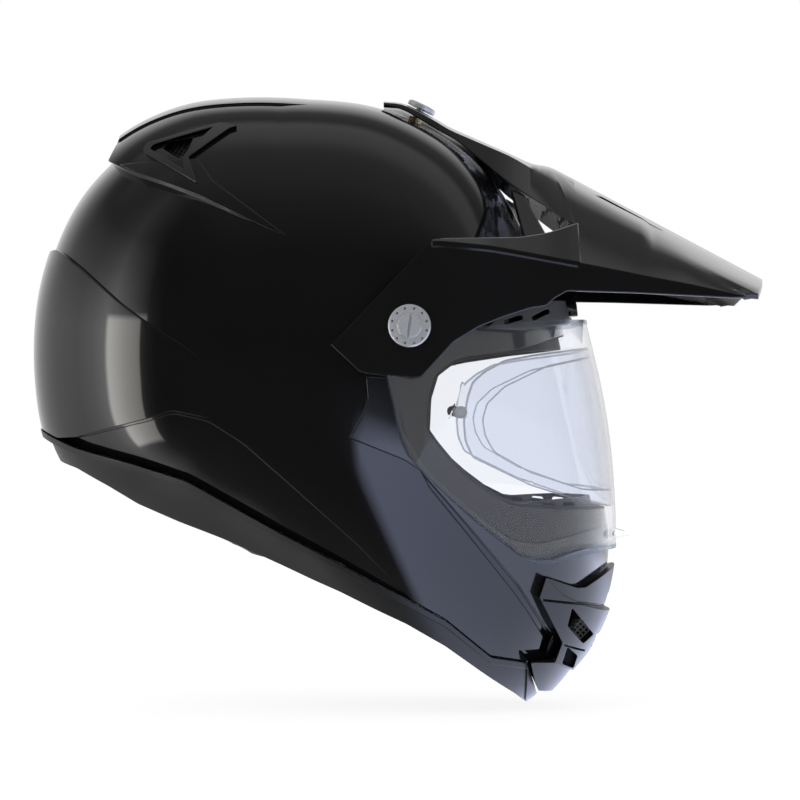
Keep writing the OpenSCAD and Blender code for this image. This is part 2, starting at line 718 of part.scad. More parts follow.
module side_screw() {
    hole_ring = screw_head_d / 2 - 2;
    color([0.72, 0.74, 0.76])
    difference() {
        union() {
            at_pivot(nut_out - nut_t + 1) cylinder(h = arm_out - nut_out + nut_t, r = screw_r);
            at_pivot(arm_out + 0.1) cylinder(h = head_t - 0.8, r = screw_head_d / 2);
            at_pivot(arm_out + head_t - 0.7) cylinder(h = 0.8, r1 = screw_head_d / 2,
                r2 = screw_head_d / 2 - 0.8);
            at_pivot(arm_out + head_t) cylinder(h = 1.6, r1 = 7, r2 = 6.2);
        }
        for (i = [0:screw_holes - 1])
            at_pivot(arm_out + 1.2) translate([hole_ring * cos(i * 360 / screw_holes + 15),
                hole_ring * sin(i * 360 / screw_holes + 15), 0]) cylinder(h = 6, r = 0.7);
        at_pivot(arm_out + head_t + 0.2) rotate(82) translate([-7.5, -coin_slot / 2, 0])
            cube([15, coin_slot, 6]);
    }
}

// Lines along the peak, as [x, z] and [x, half width] pairs
ridge_z = [[49, 144.8], [60, 144.3], [78.4, 135.6], [86.6, 130.3], [123.4, 114], [136, 108.2],
    [145, 107.9], [160, 100], [144 + bill_l, 100 - (bill_l - 16) * 0.532]];
facet_z = [[49, 143.4], [60, 142.3], [78, 132.7], [86, 127.2], [122.4, 111.1], [167.2, 83.5],
    [212, 57.2], [253, 30.6]];
facet_y = [[49, 20], [60, 24], [78, 28], [86, 30], [122, 36], [167, 48], [212, arm_out - 70],
    [253, arm_out - 56]];
deck_z = [[49, 142], [60, 139.6], [80, 127], [91, 121], [112, 102.5], [123, 93], [157, 69.4],
    [222, 46.4], [253, 30.2]];
deck_y = [[49, 21], [60, 26], [80, 31], [91, 34], [112, 46], [123, 55], [157, arm_out - 50],
    [222, arm_out - 53], [253, arm_out - 52]];
crease_z = [[76, 57.5], [80, 57.8], [109, 55.1], [137, 50.4], [167, 45.4], [199, 39.4],
    [221, 35.7], [253, 29.3]];
edge_z = [[156, 31], [188, 30.3], [221, 29], [248, 27.9], [253, 28.4]];
arm_y = [[10, arm_out], [96, arm_out], [108, arm_out - 1], [124, arm_out - 4.5],
    [140, arm_out - 10], [157, arm_out - 17], [188, arm_out - 25], [221, arm_out - 37],
    [253, arm_out - 49]];
upper_z = [[76, 58.4], [80, 59.2], [99, 59.6], [125, 60.4], [141, 63.5], [157, 69.4]];
upper_in = [[76, 1], [80, 2], [99, 5], [125, 12], [141, 20], [157, 33]];

// The moulded sheet of the bill, from lower edge over the ridge to lower edge
module bill() {
    stations = 8;
    function at(t, low) = let (x = bill_start + (bill_end - bill_start) * t,
        xr = 144 + (bill_l - 0.5) * t, xf = bill_start - 7 + (bill_end + 8 - bill_start + 7) * t,
        d = low ? peak_wall : 0)
        let (half = [[x, lookup(x, arm_y) - d, lookup(x, edge_z)],
            [x, lookup(x, arm_y) - d, lookup(x, crease_z) - d * 0.5],
            [x, lookup(x, deck_y) - d * 0.5, lookup(x, deck_z) - d],
            [xf, lookup(x, facet_y) - d * 0.2, lookup(x, facet_z) - d + (xf < x ? 4 : 0) * (1 - t)],
            [xf + (xr - xf) * 0.6, lookup(x, facet_y) * 0.5,
                (lookup(x, facet_z) + lookup(xr, ridge_z)) / 2 - d]])
        concat([for (p = half) [p[0], -p[1], p[2]]], [[xr, 0, lookup(xr, ridge_z) - d]],
            [for (k = [4:-1:0]) half[k]]);
    between([for (i = [0:stations]) at(i / stations, false)],
        [for (i = [0:stations]) at(i / stations, true)]);
}

// The spine that runs back from the bill over the forehead to the top screw
module spine() {
    stops = [49, 54, 60, 69, 78, 86, 98, 112, 123, 136, 145, bill_start + 2.3];
    function at(x, low) = let (d = low ? peak_wall : 0, half = [
        [x, lookup(x, deck_y) - d * 0.4, lookup(x, deck_z) + (low ? -0.3 : 0)],
        [x, lookup(x, facet_y) - d * 0.7, lookup(x, facet_z) - d * 0.9],
        [x, lookup(x, facet_y) * 0.5, lookup(x, ridge_z) * 0.7 + lookup(x, facet_z) * 0.3 - d]])
        concat([for (p = half) [p[0], -p[1], p[2]]], [[x, 0, lookup(x, ridge_z) - d]],
            [for (k = [2:-1:0]) half[k]]);
    between([for (x = stops) at(x, false)], [for (x = stops) at(x, true)]);
}

// Corners of the strut that ties the spine to an arm, on the right side
strut = [[122, -54, 90], [129, -59, 86], [128, 20 - arm_out, 59], [140, 29 - arm_out, 61]];
// One side arm of the peak, drawn on the right side
arm_side = [[20.6, 1], [73.3, 56.2], [77, 58], [109, 55.1], [137, 50.4], [158, 47], [158, 31],
    [151, 31], [144.2, 27.1], [139.3, 22.7], [130.4, 21.3], [115.8, 16.5], [101.9, 10.9],
    [88.2, 2.6], [77.7, -8.9], [70.3, -16.9], [41.4, -14.4], [35.4, -12.8]];
arm_rim = [[20.6, 1], [73.3, 56.2], [77, 58], [77, 54.5], [74, 52], [25, 1], [34, -8],
    [40, -11], [40, -14], [35.4, -12.8]];
module arm_plan(depth, low) {
    points = [for (x = [10, 96, 108, 124, 140, 158]) [x, -lookup(x, arm_y) + depth]];
    translate([0, 0, -60]) linear_extrude(200)
        polygon(concat(points, low ? [[158, 0], [10, 0]]
            : [for (i = [len(points) - 1:-1:0]) points[i] + [0, peak_wall]]));
}

module peak() {
    tilt_slot = top_slot_l / 2 - top_slot_w / 2;
    stops = [76, 80, 99, 125, 141, bill_start + 1.7];
    color(shell_colour)
    difference() {
        union() {
            bill();
            translate([0, 0, -lap]) spine();
            both_sides() {
                intersection() {
                    arm_plan(lap, false);
                    across(-shell_w, 0) rounded(arm_side, 0.3);
                }
                intersection() {
                    arm_plan(2 * lap, true);
                    across(-shell_w, 0) polygon(arm_rim);
                    difference() {
                        translate([0, -150, -60]) cube([120, 150, 200]);
                        skin(1.5, steps = 32, rows = 12);
                    }
                }
                translate([0, 3 * lap, 0]) between([for (x = stops) [
                    [x, -lookup(x, arm_y), lookup(x, crease_z) - 3],
                    [x, -lookup(x, arm_y), lookup(x, crease_z)],
                    [x, -lookup(x, arm_y) + lookup(x, upper_in), lookup(x, upper_z)]]],
                    [for (x = stops) [
                    [x, -lookup(x, arm_y) + peak_wall, lookup(x, crease_z) - 3],
                    [x, -lookup(x, arm_y) + peak_wall, lookup(x, crease_z) - peak_wall / 2],
                    [x, -lookup(x, arm_y) + lookup(x, upper_in) + 1,
                        lookup(x, upper_z) - peak_wall * 0.8]]]);
                hull() for (p = strut)
                    translate(p) sphere(peak_wall / 2, $fn = 8);
            }
        }
        both_sides() at_pivot(arm_in - 8) cylinder(h = 20, r = 6, $fn = 32);
        both_sides() for (x = [172, 192])
            hull() for (p = [0, 13])
                translate([x + p, -24, 60]) cylinder(h = 60, r = 2, $fn = 12);
        top_screw_place(-20) hull() for (s = [-1, 1])
            translate([s * tilt_slot, 0, 0]) cylinder(h = 40, r = top_slot_w / 2, $fn = 24);
    }
}

// Measured along the top screw, outwards from the face of the spine
module top_screw_place(height) {
    translate([70, 0, 139.4]) rotate([0, 26, 0]) translate([0, 0, height]) children();
}

module top_screw() {
    color([0.72, 0.74, 0.76])
    difference() {
        union() {
            top_screw_place(nut_low) cylinder(h = tilt_room + 1 - nut_low, r = top_shank_r);
            top_screw_place(tilt_room) cylinder(h = 2, r = top_head_d / 2);
            top_screw_place(tilt_room + 2) cylinder(h = 0.8, r1 = top_head_d / 2,
                r2 = top_head_d / 2 - 1);
        }
        top_screw_place(tilt_room + 1.4) translate([-top_head_d, -coin_slot / 2, 0])
            cube([2 * top_head_d, coin_slot, 4]);
    }
}

module top_nut() {
    color([0.72, 0.6, 0.35])
    difference() {
        union() {
            top_screw_place(nut_low) cylinder(h = 2, r = flange_r);
            top_screw_place(nut_low) cylinder(h = -nut_low - peak_wall - tilt_room, r = barrel_r);
        }
        top_screw_place(nut_low - 1) cylinder(h = 20, r = top_shank_r + thread_room);
    }
}

// A chevron shaped outlet on the rear fairing, with slats behind its opening
module rear_vent() {
    chevron = [[-34, 126], [-44, 127.5], [-84, 116], [-86, 113], [-85, 110.5], [-54, 91.5],
        [-60, 106.5], [-38, 124]];
    color([0.07, 0.07, 0.075])
    difference() {
        intersection() {
            difference() {
                translate(fairing_shift) skin(1.5);
                translate(fairing_shift) skin(-shell_wall);
            }
            across(-shell_w, -20) rounded(chevron, 0.6);
            union() {
                difference() {
                    translate([-200, -200, 0]) cube([400, 200, 200]);
                    translate(fairing_shift) skin(gap);
                }
                across(-shell_w, 0) offset(delta = -gap) polygon(vent_window);
            }
        }
        for (x = [-71:3.2:-60])
            translate([x, 29 - side_w, 109.5]) cube([1.6, 90, 6.5]);
    }
}

// One half of the chin strap, from its rivets down the shell wall and across under the chin
function strap_wall(z) = -min([for (x = [-0.5, 0, 0.5])
    half_width(strap_x + x * strap_w, z, -shell_wall - 1.8)]);
module strap_band(last) {
    path = concat([[strap_wall(-70), -56]], [for (z = [-70:-10:-110]) [strap_wall(z), z]],
        [[strap_wall(-112) + 8, -117], [-78, -121], [-56, -123], last]);
    translate([strap_x - strap_w / 2, 0, 0]) rotate([90, 0, 90]) linear_extrude(strap_w)
        polygon(concat(path, [for (i = [len(path) - 1:-1:0]) path[i] + [strap_t, 0]
            + (i > 5 ? [-strap_t, strap_t] : [0, 0])]));
}

module chin_strap_right() {
    color([0.09, 0.09, 0.1]) strap_band([-4, -126]);
}

// The left strap ends in a sewn loop round the bars of both rings
module chin_strap_left() {
    bars = [-ring_at[0], ring_at[1]];
    inner = ring_r + 1.75 + gap;
    color([0.09, 0.09, 0.1])
    mirror([0, 1, 0]) {
        strap_band([-47, -123.2]);
        translate([strap_x - strap_w / 2 + 2, 0, 0]) rotate([90, 0, 90])
            linear_extrude(strap_w - 4) difference() {
                hull() {
                    translate(bars) circle(inner + strap_t);
                    translate([-48, -121.8]) circle(strap_t / 2 + 0.1);
                }
                hull() {
                    translate(bars) circle(inner);
                    translate([-42, -121]) circle(gap);
                }
            }
    }
}

// Two steel rings on the end of the left strap, whose bars lie one over the other
module d_rings() {
    color([0.72, 0.74, 0.76])
    for (i = [0, 1])
        translate([strap_x, ring_at[0], ring_at[1] + (i - 0.5) * 3.5]) rotate([12, 0, 0]) {
            rotate([0, 0, 180]) rotate_extrude(angle = 180) translate([15, 0]) circle(ring_r);
            translate([-15, 0, 0]) rotate([0, 90, 0]) cylinder(h = 30, r = ring_r);
        }
}

module strap_rivets() {
    color([0.3, 0.3, 0.31])
    both_sides() for (x = [strap_x - 7, strap_x + 7])
        translate([x, strap_wall(-70) + strap_t + 1, -63]) rotate([90, 0, 0])
            cylinder(h = 0.95, r = 3.4);
}

outer_shell();
lower_trim();
eye_port_gasket();
crown_liner();
chin_liner();
crown_pad();
cheek_pad();  // cheek_pad_right
mirror([0, 1, 0]) cheek_pad();  // cheek_pad_left
neck_roll();
breath_deflector();
chin_cover();
mouth_vent_frame();
mouth_vent_grille();
mouth_vent_shutter();
brow_vent();
brow_cap();
face_shield();
shield_hub();  // shield_hub_right
mirror([0, 1, 0]) shield_hub();  // shield_hub_left
antifog_insert();
insert_pin();  // insert_pin_right
mirror([0, 1, 0]) insert_pin();  // insert_pin_left
pivot_plate();  // pivot_plate_right
mirror([0, 1, 0]) pivot_plate();  // pivot_plate_left
shell_nut();  // shell_nut_right
mirror([0, 1, 0]) shell_nut();  // shell_nut_left
peak();
peak_bush();  // peak_bush_right
mirror([0, 1, 0]) peak_bush();  // peak_bush_left
side_screw();  // side_screw_right
mirror([0, 1, 0]) side_screw();  // side_screw_left
top_screw();
top_nut();
rear_vent();  // rear_vent_right
mirror([0, 1, 0]) rear_vent();  // rear_vent_left
chin_strap_right();
chin_strap_left();
d_rings();
strap_rivets();
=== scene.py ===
import json
import math

import bpy
import numpy as np
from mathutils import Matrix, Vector


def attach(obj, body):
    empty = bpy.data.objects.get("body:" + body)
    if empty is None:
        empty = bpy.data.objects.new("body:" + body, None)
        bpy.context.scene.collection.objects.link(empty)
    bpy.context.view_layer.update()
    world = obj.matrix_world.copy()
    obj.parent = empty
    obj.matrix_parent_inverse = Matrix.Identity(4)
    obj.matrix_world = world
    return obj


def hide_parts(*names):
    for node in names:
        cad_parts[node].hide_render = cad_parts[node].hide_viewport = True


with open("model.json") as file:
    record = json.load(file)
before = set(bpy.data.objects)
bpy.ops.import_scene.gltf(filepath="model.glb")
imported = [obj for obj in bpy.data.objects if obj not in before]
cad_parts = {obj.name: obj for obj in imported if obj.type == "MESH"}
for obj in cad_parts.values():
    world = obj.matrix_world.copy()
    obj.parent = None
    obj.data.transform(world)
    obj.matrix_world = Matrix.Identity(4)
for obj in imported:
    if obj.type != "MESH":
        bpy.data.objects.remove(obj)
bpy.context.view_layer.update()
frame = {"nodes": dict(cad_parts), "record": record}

nodes = frame["nodes"]
MM = 0.001

# ---- Camera and studio ----
# A long lens looks square at the right side, with the wearer's face to the right of the picture.
# The backdrop and floor are white. The gloss mirrors a pale wall, a dim ceiling, a dark camera
# side, a tall bright panel at the back left and a bluish floor ahead of the chin.
scene = bpy.context.scene
scene.view_settings.view_transform = "Standard"
bpy.ops.object.camera_add(location=(0.0585, -2.2, -0.02925), rotation=(math.pi / 2, 0, 0))
camera = bpy.context.object
camera.data.sensor_width = 36
camera.data.lens = 169.2
scene.camera = camera
WHITE = (1, 1, 1, 1)


def feed(tree, node, *by_place, **by_name):
    """Sets a node's inputs, by place or by name, to plain values or to other nodes' outputs."""
    for key, value in [*enumerate(by_place), *by_name.items()]:
        socket = node.inputs[key if isinstance(key, int) else key.replace("_", " ")]
        if isinstance(value, bpy.types.NodeSocket):
            tree.links.new(value, socket)
        else:
            socket.default_value = value
    return node


def add_node(tree, kind, *by_place, **by_name):
    return feed(tree, tree.nodes.new("ShaderNode" + kind), *by_place, **by_name)


def reckon(tree, how, *values):
    """A value worked out from others, each a number or the output of another step."""
    step = add_node(tree, "Math", *values)
    step.operation = how
    return step.outputs[0]


def gradient(tree, value, stops):
    """A colour, or a grey, for a value between the first and the last stop."""
    low, high = stops[0][0], stops[-1][0]
    spread = add_node(tree, "MapRange", Value=value, From_Min=low, From_Max=high)
    ramp = add_node(tree, "ValToRGB", Fac=spread.outputs["Result"])
    for _ in stops[2:]:
        ramp.color_ramp.elements.new(0.5)
    for stop, (at, shade) in zip(ramp.color_ramp.elements, stops):
        stop.position = (at - low) / (high - low)
        stop.color = (*(shade if isinstance(shade, tuple) else (shade,) * 3), 1)
    return ramp.outputs["Color"]


def combine(tree, how, first, second, share=1.0):
    """Two colours blended, added or multiplied."""
    mix = add_node(tree, "MixRGB", share, first, second)
    mix.blend_type = how
    return mix.outputs["Color"]


def blend_shaders(tree, share, first, second):
    return add_node(tree, "MixShader", share, first.outputs[0], second.outputs[0])


def seen_straight(tree, path):
    """1 for rays that come from the camera, past or through the clear parts."""
    return reckon(tree, "MAXIMUM", path.outputs["Is Camera Ray"],
                  path.outputs["Is Transmission Ray"])


world = bpy.data.worlds.new("studio")
scene.world = world


def empty_tree(owner):
    owner.use_nodes = True
    owner.node_tree.nodes.clear()
    return owner.node_tree


tree = empty_tree(world)
x, y, z = add_node(tree, "SeparateXYZ", add_node(tree, "TexCoord").outputs["Generated"]).outputs
turn_side = reckon(tree, "DEGREES", reckon(tree, "ARCTAN2", x, y))
turn_up = reckon(tree, "DEGREES", reckon(tree, "ARCTAN2", z, y))
over = gradient(tree, turn_up, [
    (-180, 0.01), (-150, 0.012), (-90, 0.06), (-30, 0.09), (-4, 0.12), (22, 0.16), (36, 0.11),
    (46, 0.026), (57, 0.024), (64, 0.08), (78, 0.085), (90, 0.05), (112, 0.042), (124, 0.028),
    (150, 0.01), (180, 0.008)])
rear = gradient(tree, turn_side, [
    (-180, 0.008), (-135, 0.01), (-128, 0.03), (-106, 0.4), (-96, 0.26), (-84, 0.175),
    (-60, 0.115), (-20, 0.075), (0, 0.11), (180, 0.03)])
rear = combine(tree, "MULTIPLY", rear, gradient(tree, z, [
    (-0.8, 0.8), (0.1, 1.0), (0.2, 0.85), (0.37, 0.5), (0.55, 0.2), (0.8, 0.15)]))
mirrored = combine(tree, "MIX", over, rear, gradient(tree, x, [(-0.75, 1.0), (-0.3, 0.0)]))
panel = combine(tree, "MULTIPLY",
                gradient(tree, turn_side, [
                    (-127.5, (0.0, 0.0, 0.0)), (-126.5, (0.52, 0.5, 0.47)),
                    (-118, (0.66, 0.64, 0.6)), (-108, (1.0, 0.97, 0.92)),
                    (-105.5, (0.0, 0.0, 0.0))]),
                gradient(tree, z, [(-0.7, 0.0), (-0.66, 1.0), (0.13, 1.0), (0.16, 0.0)]))
ahead = reckon(tree, "SUBTRACT", reckon(tree, "MULTIPLY_ADD", y, 0.19, x),
               reckon(tree, "MULTIPLY", z, 0.546))
ground = combine(tree, "MULTIPLY",
                 gradient(tree, ahead, [
                     (-0.03, (0.0, 0.0, 0.0)), (0.02, (0.3, 0.335, 0.48)),
                     (0.9, (0.22, 0.245, 0.34)), (1.3, (0.13, 0.145, 0.19))]),
                 gradient(tree, z, [(-0.16, 1.0), (-0.07, 0.0)]))
ground = combine(tree, "MULTIPLY", ground, gradient(tree, x, [(-0.02, 0.0), (0.1, 1.0)]))
mirrored = combine(tree, "ADD", combine(tree, "ADD", mirrored, panel), ground)
path = add_node(tree, "LightPath")
room = add_node(tree, "Background", Color=mirrored, Strength=5)
even = add_node(tree, "Background", Color=WHITE, Strength=0.85)
white = add_node(tree, "Background", Color=WHITE, Strength=1)
inside = blend_shaders(tree, path.outputs["Is Glossy Ray"], even, room)
shown = blend_shaders(tree, seen_straight(tree, path), inside, white)
add_node(tree, "OutputWorld", Surface=shown.outputs[0])

LAMPS = (("key_above", (-0.5, -1.3, 1.5), 1.0, 7), ("rim_behind", (0.3, 1.5, 1.0), 1.2, 6))
for name, spot, size, power in LAMPS:
    bpy.ops.object.light_add(type="AREA", location=spot)
    lamp = bpy.context.object
    lamp.name = name
    lamp.data.size = size
    lamp.data.energy = power
    lamp.visible_glossy = False
    lamp.rotation_euler = (-Vector(spot)).to_track_quat("-Z", "Y").to_euler()

FLOOR_Z = -0.2075
bpy.ops.mesh.primitive_circle_add(vertices=64, radius=6, fill_type="NGON",
                                  location=(0, 0, FLOOR_Z))
floor = bpy.context.object
floor.name = "studio_floor"
chalk = bpy.data.materials.new("pale_floor")
tree = empty_tree(chalk)
path = add_node(tree, "LightPath")
matt = add_node(tree, "BsdfDiffuse", Color=(0.86, 0.86, 0.87, 1))
lit = blend_shaders(tree, path.outputs["Is Glossy Ray"], matt, add_node(tree, "BsdfTransparent"))
shown = blend_shaders(tree, reckon(tree, "MULTIPLY", seen_straight(tree, path), 0.8), lit,
                      add_node(tree, "Emission", Color=WHITE, Strength=1.1))
add_node(tree, "OutputMaterial", Surface=shown.outputs[0])
floor.data.materials.append(chalk)

# ---- Outer shell ----
# A composite shell moulded in one piece and lacquered in a deep gloss black. A fairing with a flat
# back end is raised over the crown, a panel stands proud behind the ear, a wedge runs down from the
# rear vent, and the skirt along the bottom edge is set back.
SIDE_W = 129
SHELL_SIDE = [
    (156, 0), (152, 24), (143, 46), (130.5, 68), (117, 93), (99, 113), (77, 128), (45.6, 141),
    (12, 145.5), (-29, 144), (-62, 137.5), (-88, 125.5), (-109, 108.5), (-125, 91), (-138, 68),
    (-147.5, 38), (-151, 7), (-150, -22), (-145, -50), (-132, -75), (-100, -100), (-50, -132),
    (0, -165), (50, -196), (95, -214), (130, -206), (150, -186), (168, -160), (178, -132),
    (180, -105), (174, -70), (166, -35)]
SHELL_POWER = ((0, 360), (2.3, 2.3))
PIVOT = (63.7, 11.6)
FAIRING_SHIFT = (-10, 0, 2.5)
FAIRING_FADE = (30, -55)
EYE_PORT = [
    (158, 10), (125, -1), (98, -5), (88, -7), (78, -15), (74, -28), (73, -46), (78, -53),
    (87, -64), (97, -73), (109, -82), (121, -88), (150, -91), (230, -93), (230, 10)]
TRIM_TOP = [
    (-158, -42), (-140, -50), (-125, -56), (-110, -60), (-90, -65), (-62, -73.5), (-56, -76.5),
    (-28, -92), (-6, -104), (25, -120), (45, -131), (64, -141), (84, -152), (97, -163),
    (110, -174), (131, -178)]
COVER_SIDE = [
    (31, -50), (38, -38), (41, -28), (40, -17), (54, -18), (57, -31), (61, -48), (76, -70),
    (92, -84), (108, -98), (120, -107), (135, -110), (200, -96), (200, -176), (141, -176),
    (146, -166), (142, -161), (134, -148), (125, -134), (96, -99), (76, -76), (70, -68),
    (61, -62), (41, -54)]
VENT_WINDOW = [(-75, 112.5), (-72, 117.5), (-58, 118.5), (-62, 108), (-66, 106.5), (-70, 109)]
FAIRING = [
    (60, 160), (-74, 160), (-104, 124.5), (-103, 121), (-108, 107), (-90, 97.5), (-54, 84),
    (-36, 75), (-2, 60), (30, 80), (60, 110)]
WEDGE = [
    (-100, 104), (-90, 98.5), (-54, 85), (-36, 76), (-3, 60.5), (-9, 65), (-46, 93), (-55, 106)]
CROWN_BAND = [
    (-108, -38), (-60, -45), (0, -46), (50, -41), (84, -30), (84, 30), (50, 41), (0, 46),
    (-60, 45), (-108, 38)]
REAR_PANEL = [
    (-160, 56), (-138, 57), (-123, 46), (-98, 25), (-84, 15), (-63, 2), (-48, -9), (-27, -24),
    (-20, -50), (-48, -39), (-68, -35), (-80, -39), (-120, -49), (-160, -60)]
LOW_SKIRT = [
    (-165, -53), (-119, -49.7), (-80.6, -40.8), (-67.3, -36.6), (-47.7, -41), (-28.7, -53),
    (-4, -74.7), (35.3, -110), (66, -142), (66, -260), (-165, -260)]
SEAM_GROOVE = [
    (70, -68.5), (76, -75.5), (96, -98.2), (125, -132.6), (134.6, -147), (145.5, -163.4),
    (141.5, -173.5), (137.5, -172), (139.6, -163.5), (131, -149.5), (121.5, -136), (93.8, -101),
    (75, -78)]


def side_radius(side, soften=2.5):
    """Radius of a side view at any angle in degrees, with the kinks between its points eased."""
    points = np.array(side, float)
    angle = np.degrees(np.arctan2(points[:, 1], points[:, 0])) % 360
    order = np.argsort(angle)
    angle, reach = angle[order], np.hypot(*points.T)[order]
    angle = np.concatenate([angle[-3:] - 360, angle, angle[:3] + 360])
    reach = np.concatenate([reach[-3:], reach, reach[:3]])
    grid = np.arange(0, 360, 0.25)
    at = np.searchsorted(angle, grid, side="right") - 1
    span = angle[at + 1] - angle[at]
    t = (grid - angle[at]) / span
    slope = (reach[2:] - reach[:-2]) / (angle[2:] - angle[:-2])
    smooth = ((2 * t**3 - 3 * t**2 + 1) * reach[at] + (t**3 - 2 * t**2 + t) * slope[at - 1] * span
              + (3 * t**2 - 2 * t**3) * reach[at + 1] + (t**3 - t**2) * slope[at] * span)
    bell = np.exp(-0.5 * (np.minimum(grid, 360 - grid) / soften) ** 2)
    eased = np.real(np.fft.ifft(np.fft.fft(smooth) * np.fft.fft(bell / bell.sum())))
    reach = np.append(eased, eased[0])
    return lambda a: np.interp(np.asarray(a) % 360, np.append(grid, 360), reach)


shell_radius = side_radius(SHELL_SIDE)


def half_width(x, z, out=0.0):
    """Half width of the shell's skin over a spot of the side view, in millimetres."""
    angle = math.degrees(math.atan2(z, x))
    n = float(np.interp(angle % 360, *SHELL_POWER))
    share = min(1.0, math.hypot(x, z) / (float(shell_radius(angle)) + out))
    return (SIDE_W + out) * (1 - share**n) ** (1 / n)


def skin(name, out, side_out=None, radius=shell_radius, power=SHELL_POWER, steps=288,
         shift=(0, 0, 0), fade=None):
    """A closed oval body at a distance from the shell's skin, pushed out from a ball."""
    bpy.ops.mesh.primitive_uv_sphere_add(segments=steps, ring_count=steps // 2,
                                         rotation=(math.pi / 2, 0, 0))
    body = bpy.context.object
    body.name = name
    bpy.ops.object.transform_apply()
    ball = np.empty(len(body.data.vertices) * 3)
    body.data.vertices.foreach_get("co", ball)
    ball = ball.reshape(-1, 3)
    angle = np.degrees(np.arctan2(ball[:, 2], ball[:, 0]))
    tilt = np.arcsin(np.clip(ball[:, 1], -1, 1))
    n = np.interp(angle % 360, *power)
    reach = (radius(angle) + out) * np.abs(np.cos(tilt)) ** (2 / n)
    half = SIDE_W + (out if side_out is None else side_out)
    across = half * np.sign(tilt) * np.abs(np.sin(tilt)) ** (2 / n)
    turn = np.radians(angle)
    points = np.stack([reach * np.cos(turn), across, reach * np.sin(turn)], 1)
    share = np.ones(len(points))
    if fade:
        share = np.clip((fade[0] - points[:, 0]) / (fade[0] - fade[1]), 0, 1)
        share = share * share * (3 - 2 * share)
        points *= (1 - (1 - share) * 0.012)[:, None]
    points += np.array(shift) * share[:, None]
    body.data.vertices.foreach_set("co", (points * MM).ravel())
    body.data.update()
    return body


def pick(piece):
    """Makes a piece the only selected object, and the active one."""
    bpy.ops.object.select_all(action="DESELECT")
    piece.select_set(True)
    bpy.context.view_layer.objects.active = piece


def edit_mesh(name, points, faces):
    """A mesh of points in millimetres, open in edit mode with all of it selected."""
    mesh = bpy.data.meshes.new(name)
    mesh.from_pydata([tuple(c * MM for c in p) for p in points], [], faces)
    piece = bpy.data.objects.new(name, mesh)
    bpy.context.collection.objects.link(piece)
    pick(piece)
    bpy.ops.object.mode_set(mode="EDIT")
    bpy.ops.mesh.select_all(action="SELECT")
    return piece


def slab(name, outline, round_by=0.0, low=-140, high=140, along="Y"):
    """A block with a rounded outline of the side view (or of the plan, along Z)."""
    on_y = along == "Y"
    spots = [(a, low, b) if on_y else (a, b, low) for a, b in outline]
    block = edit_mesh(name, spots, [list(range(len(spots)))])
    if round_by:
        bpy.ops.mesh.bevel(offset=round_by * MM, segments=5, affect="VERTICES", clamp_overlap=True)
        bpy.ops.mesh.select_all(action="SELECT")
    rise = (0, (high - low) * MM * on_y, (high - low) * MM * (not on_y))
    bpy.ops.mesh.extrude_region_move(TRANSFORM_OT_translate={"value": rise})
    bpy.ops.mesh.select_all(action="SELECT")
    bpy.ops.mesh.normals_make_consistent(inside=False)
    bpy.ops.object.mode_set(mode="OBJECT")
    return block


def carve(piece, tool, how="DIFFERENCE"):
    """Cuts a piece by a tool, joins the tool to it, or keeps only what they share."""
    cut = piece.modifiers.new("cut", "BOOLEAN")
    cut.operation = how
    cut.object = tool
    cut.solver = "MANIFOLD"
    pick(piece)
    bpy.ops.object.modifier_apply(modifier=cut.name)
    bpy.data.objects.remove(tool)
    return piece


def disc(name, place, length, radius, sides=48, lean=0.0):
    """A round bar along Y (leaning about Z), centred on its place, in millimetres."""
    bpy.ops.mesh.primitive_cylinder_add(vertices=sides, radius=radius * MM, depth=length * MM,
                                        location=[c * MM for c in place],
                                        rotation=(math.pi / 2, 0, math.radians(lean)))
    bar = bpy.context.object
    bar.name = name
    bpy.ops.object.transform_apply()
    return bar


def finish_piece(piece, body, material, replaced, angle=28):
    """Shades a finished piece smooth up to an angle, gives it its material, hides the CAD parts it
    replaces and hangs it on its body.
    """
    pick(piece)
    bpy.ops.object.shade_smooth_by_angle(angle=math.radians(angle))
    piece.data.materials.clear()
    piece.data.materials.append(material)
    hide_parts(*replaced)
    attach(piece, body)


def new_material(name):
    """A material, its node tree and its main shader."""
    mat = bpy.data.materials.new(name)
    mat.use_nodes = True
    return mat, mat.node_tree, mat.node_tree.nodes["Principled BSDF"]


def plastic(name, colour, rough, coat=0.0, coat_rough=0.03, edge=0.0, grain=0.0, grain_size=1500,
            metal=0.0, shine=0.5):
    """A moulded, painted or turned finish: soft edges, fine grain, and slight rub marks."""
    mat, tree, look = new_material(name)
    where = add_node(tree, "TexCoord").outputs["Object"]
    smudge = add_node(tree, "TexNoise", Vector=where, Scale=22, Detail=5).outputs["Fac"]
    sheen = add_node(tree, "MapRange", Value=smudge, From_Min=0.3, From_Max=0.7,
                     To_Min=rough * 0.85, To_Max=rough * 1.15)
    tone = add_node(tree, "MixRGB", smudge, (*[c * 0.88 for c in colour], 1),
                    (*[min(1, c * 1.12) for c in colour], 1))
    feed(tree, look, Metallic=metal, Coat_Weight=coat, Coat_Roughness=coat_rough,
         Specular_IOR_Level=shine, Roughness=sheen.outputs["Result"],
         Base_Color=tone.outputs["Color"])
    normal = None
    if edge:
        rounding = add_node(tree, "Bevel", Radius=edge * MM)
        rounding.samples = 6
        normal = rounding.outputs["Normal"]
    if grain:
        pebble = add_node(tree, "TexNoise", Vector=where, Scale=grain_size, Detail=3)
        bump = add_node(tree, "Bump", Strength=0.6, Distance=grain * MM,
                        Height=pebble.outputs["Fac"])
        if normal:
            feed(tree, bump, Normal=normal)
        normal = bump.outputs["Normal"]
    if normal:
        feed(tree, look, Normal=normal)
        if coat:
            feed(tree, look, Coat_Normal=normal)
    return mat


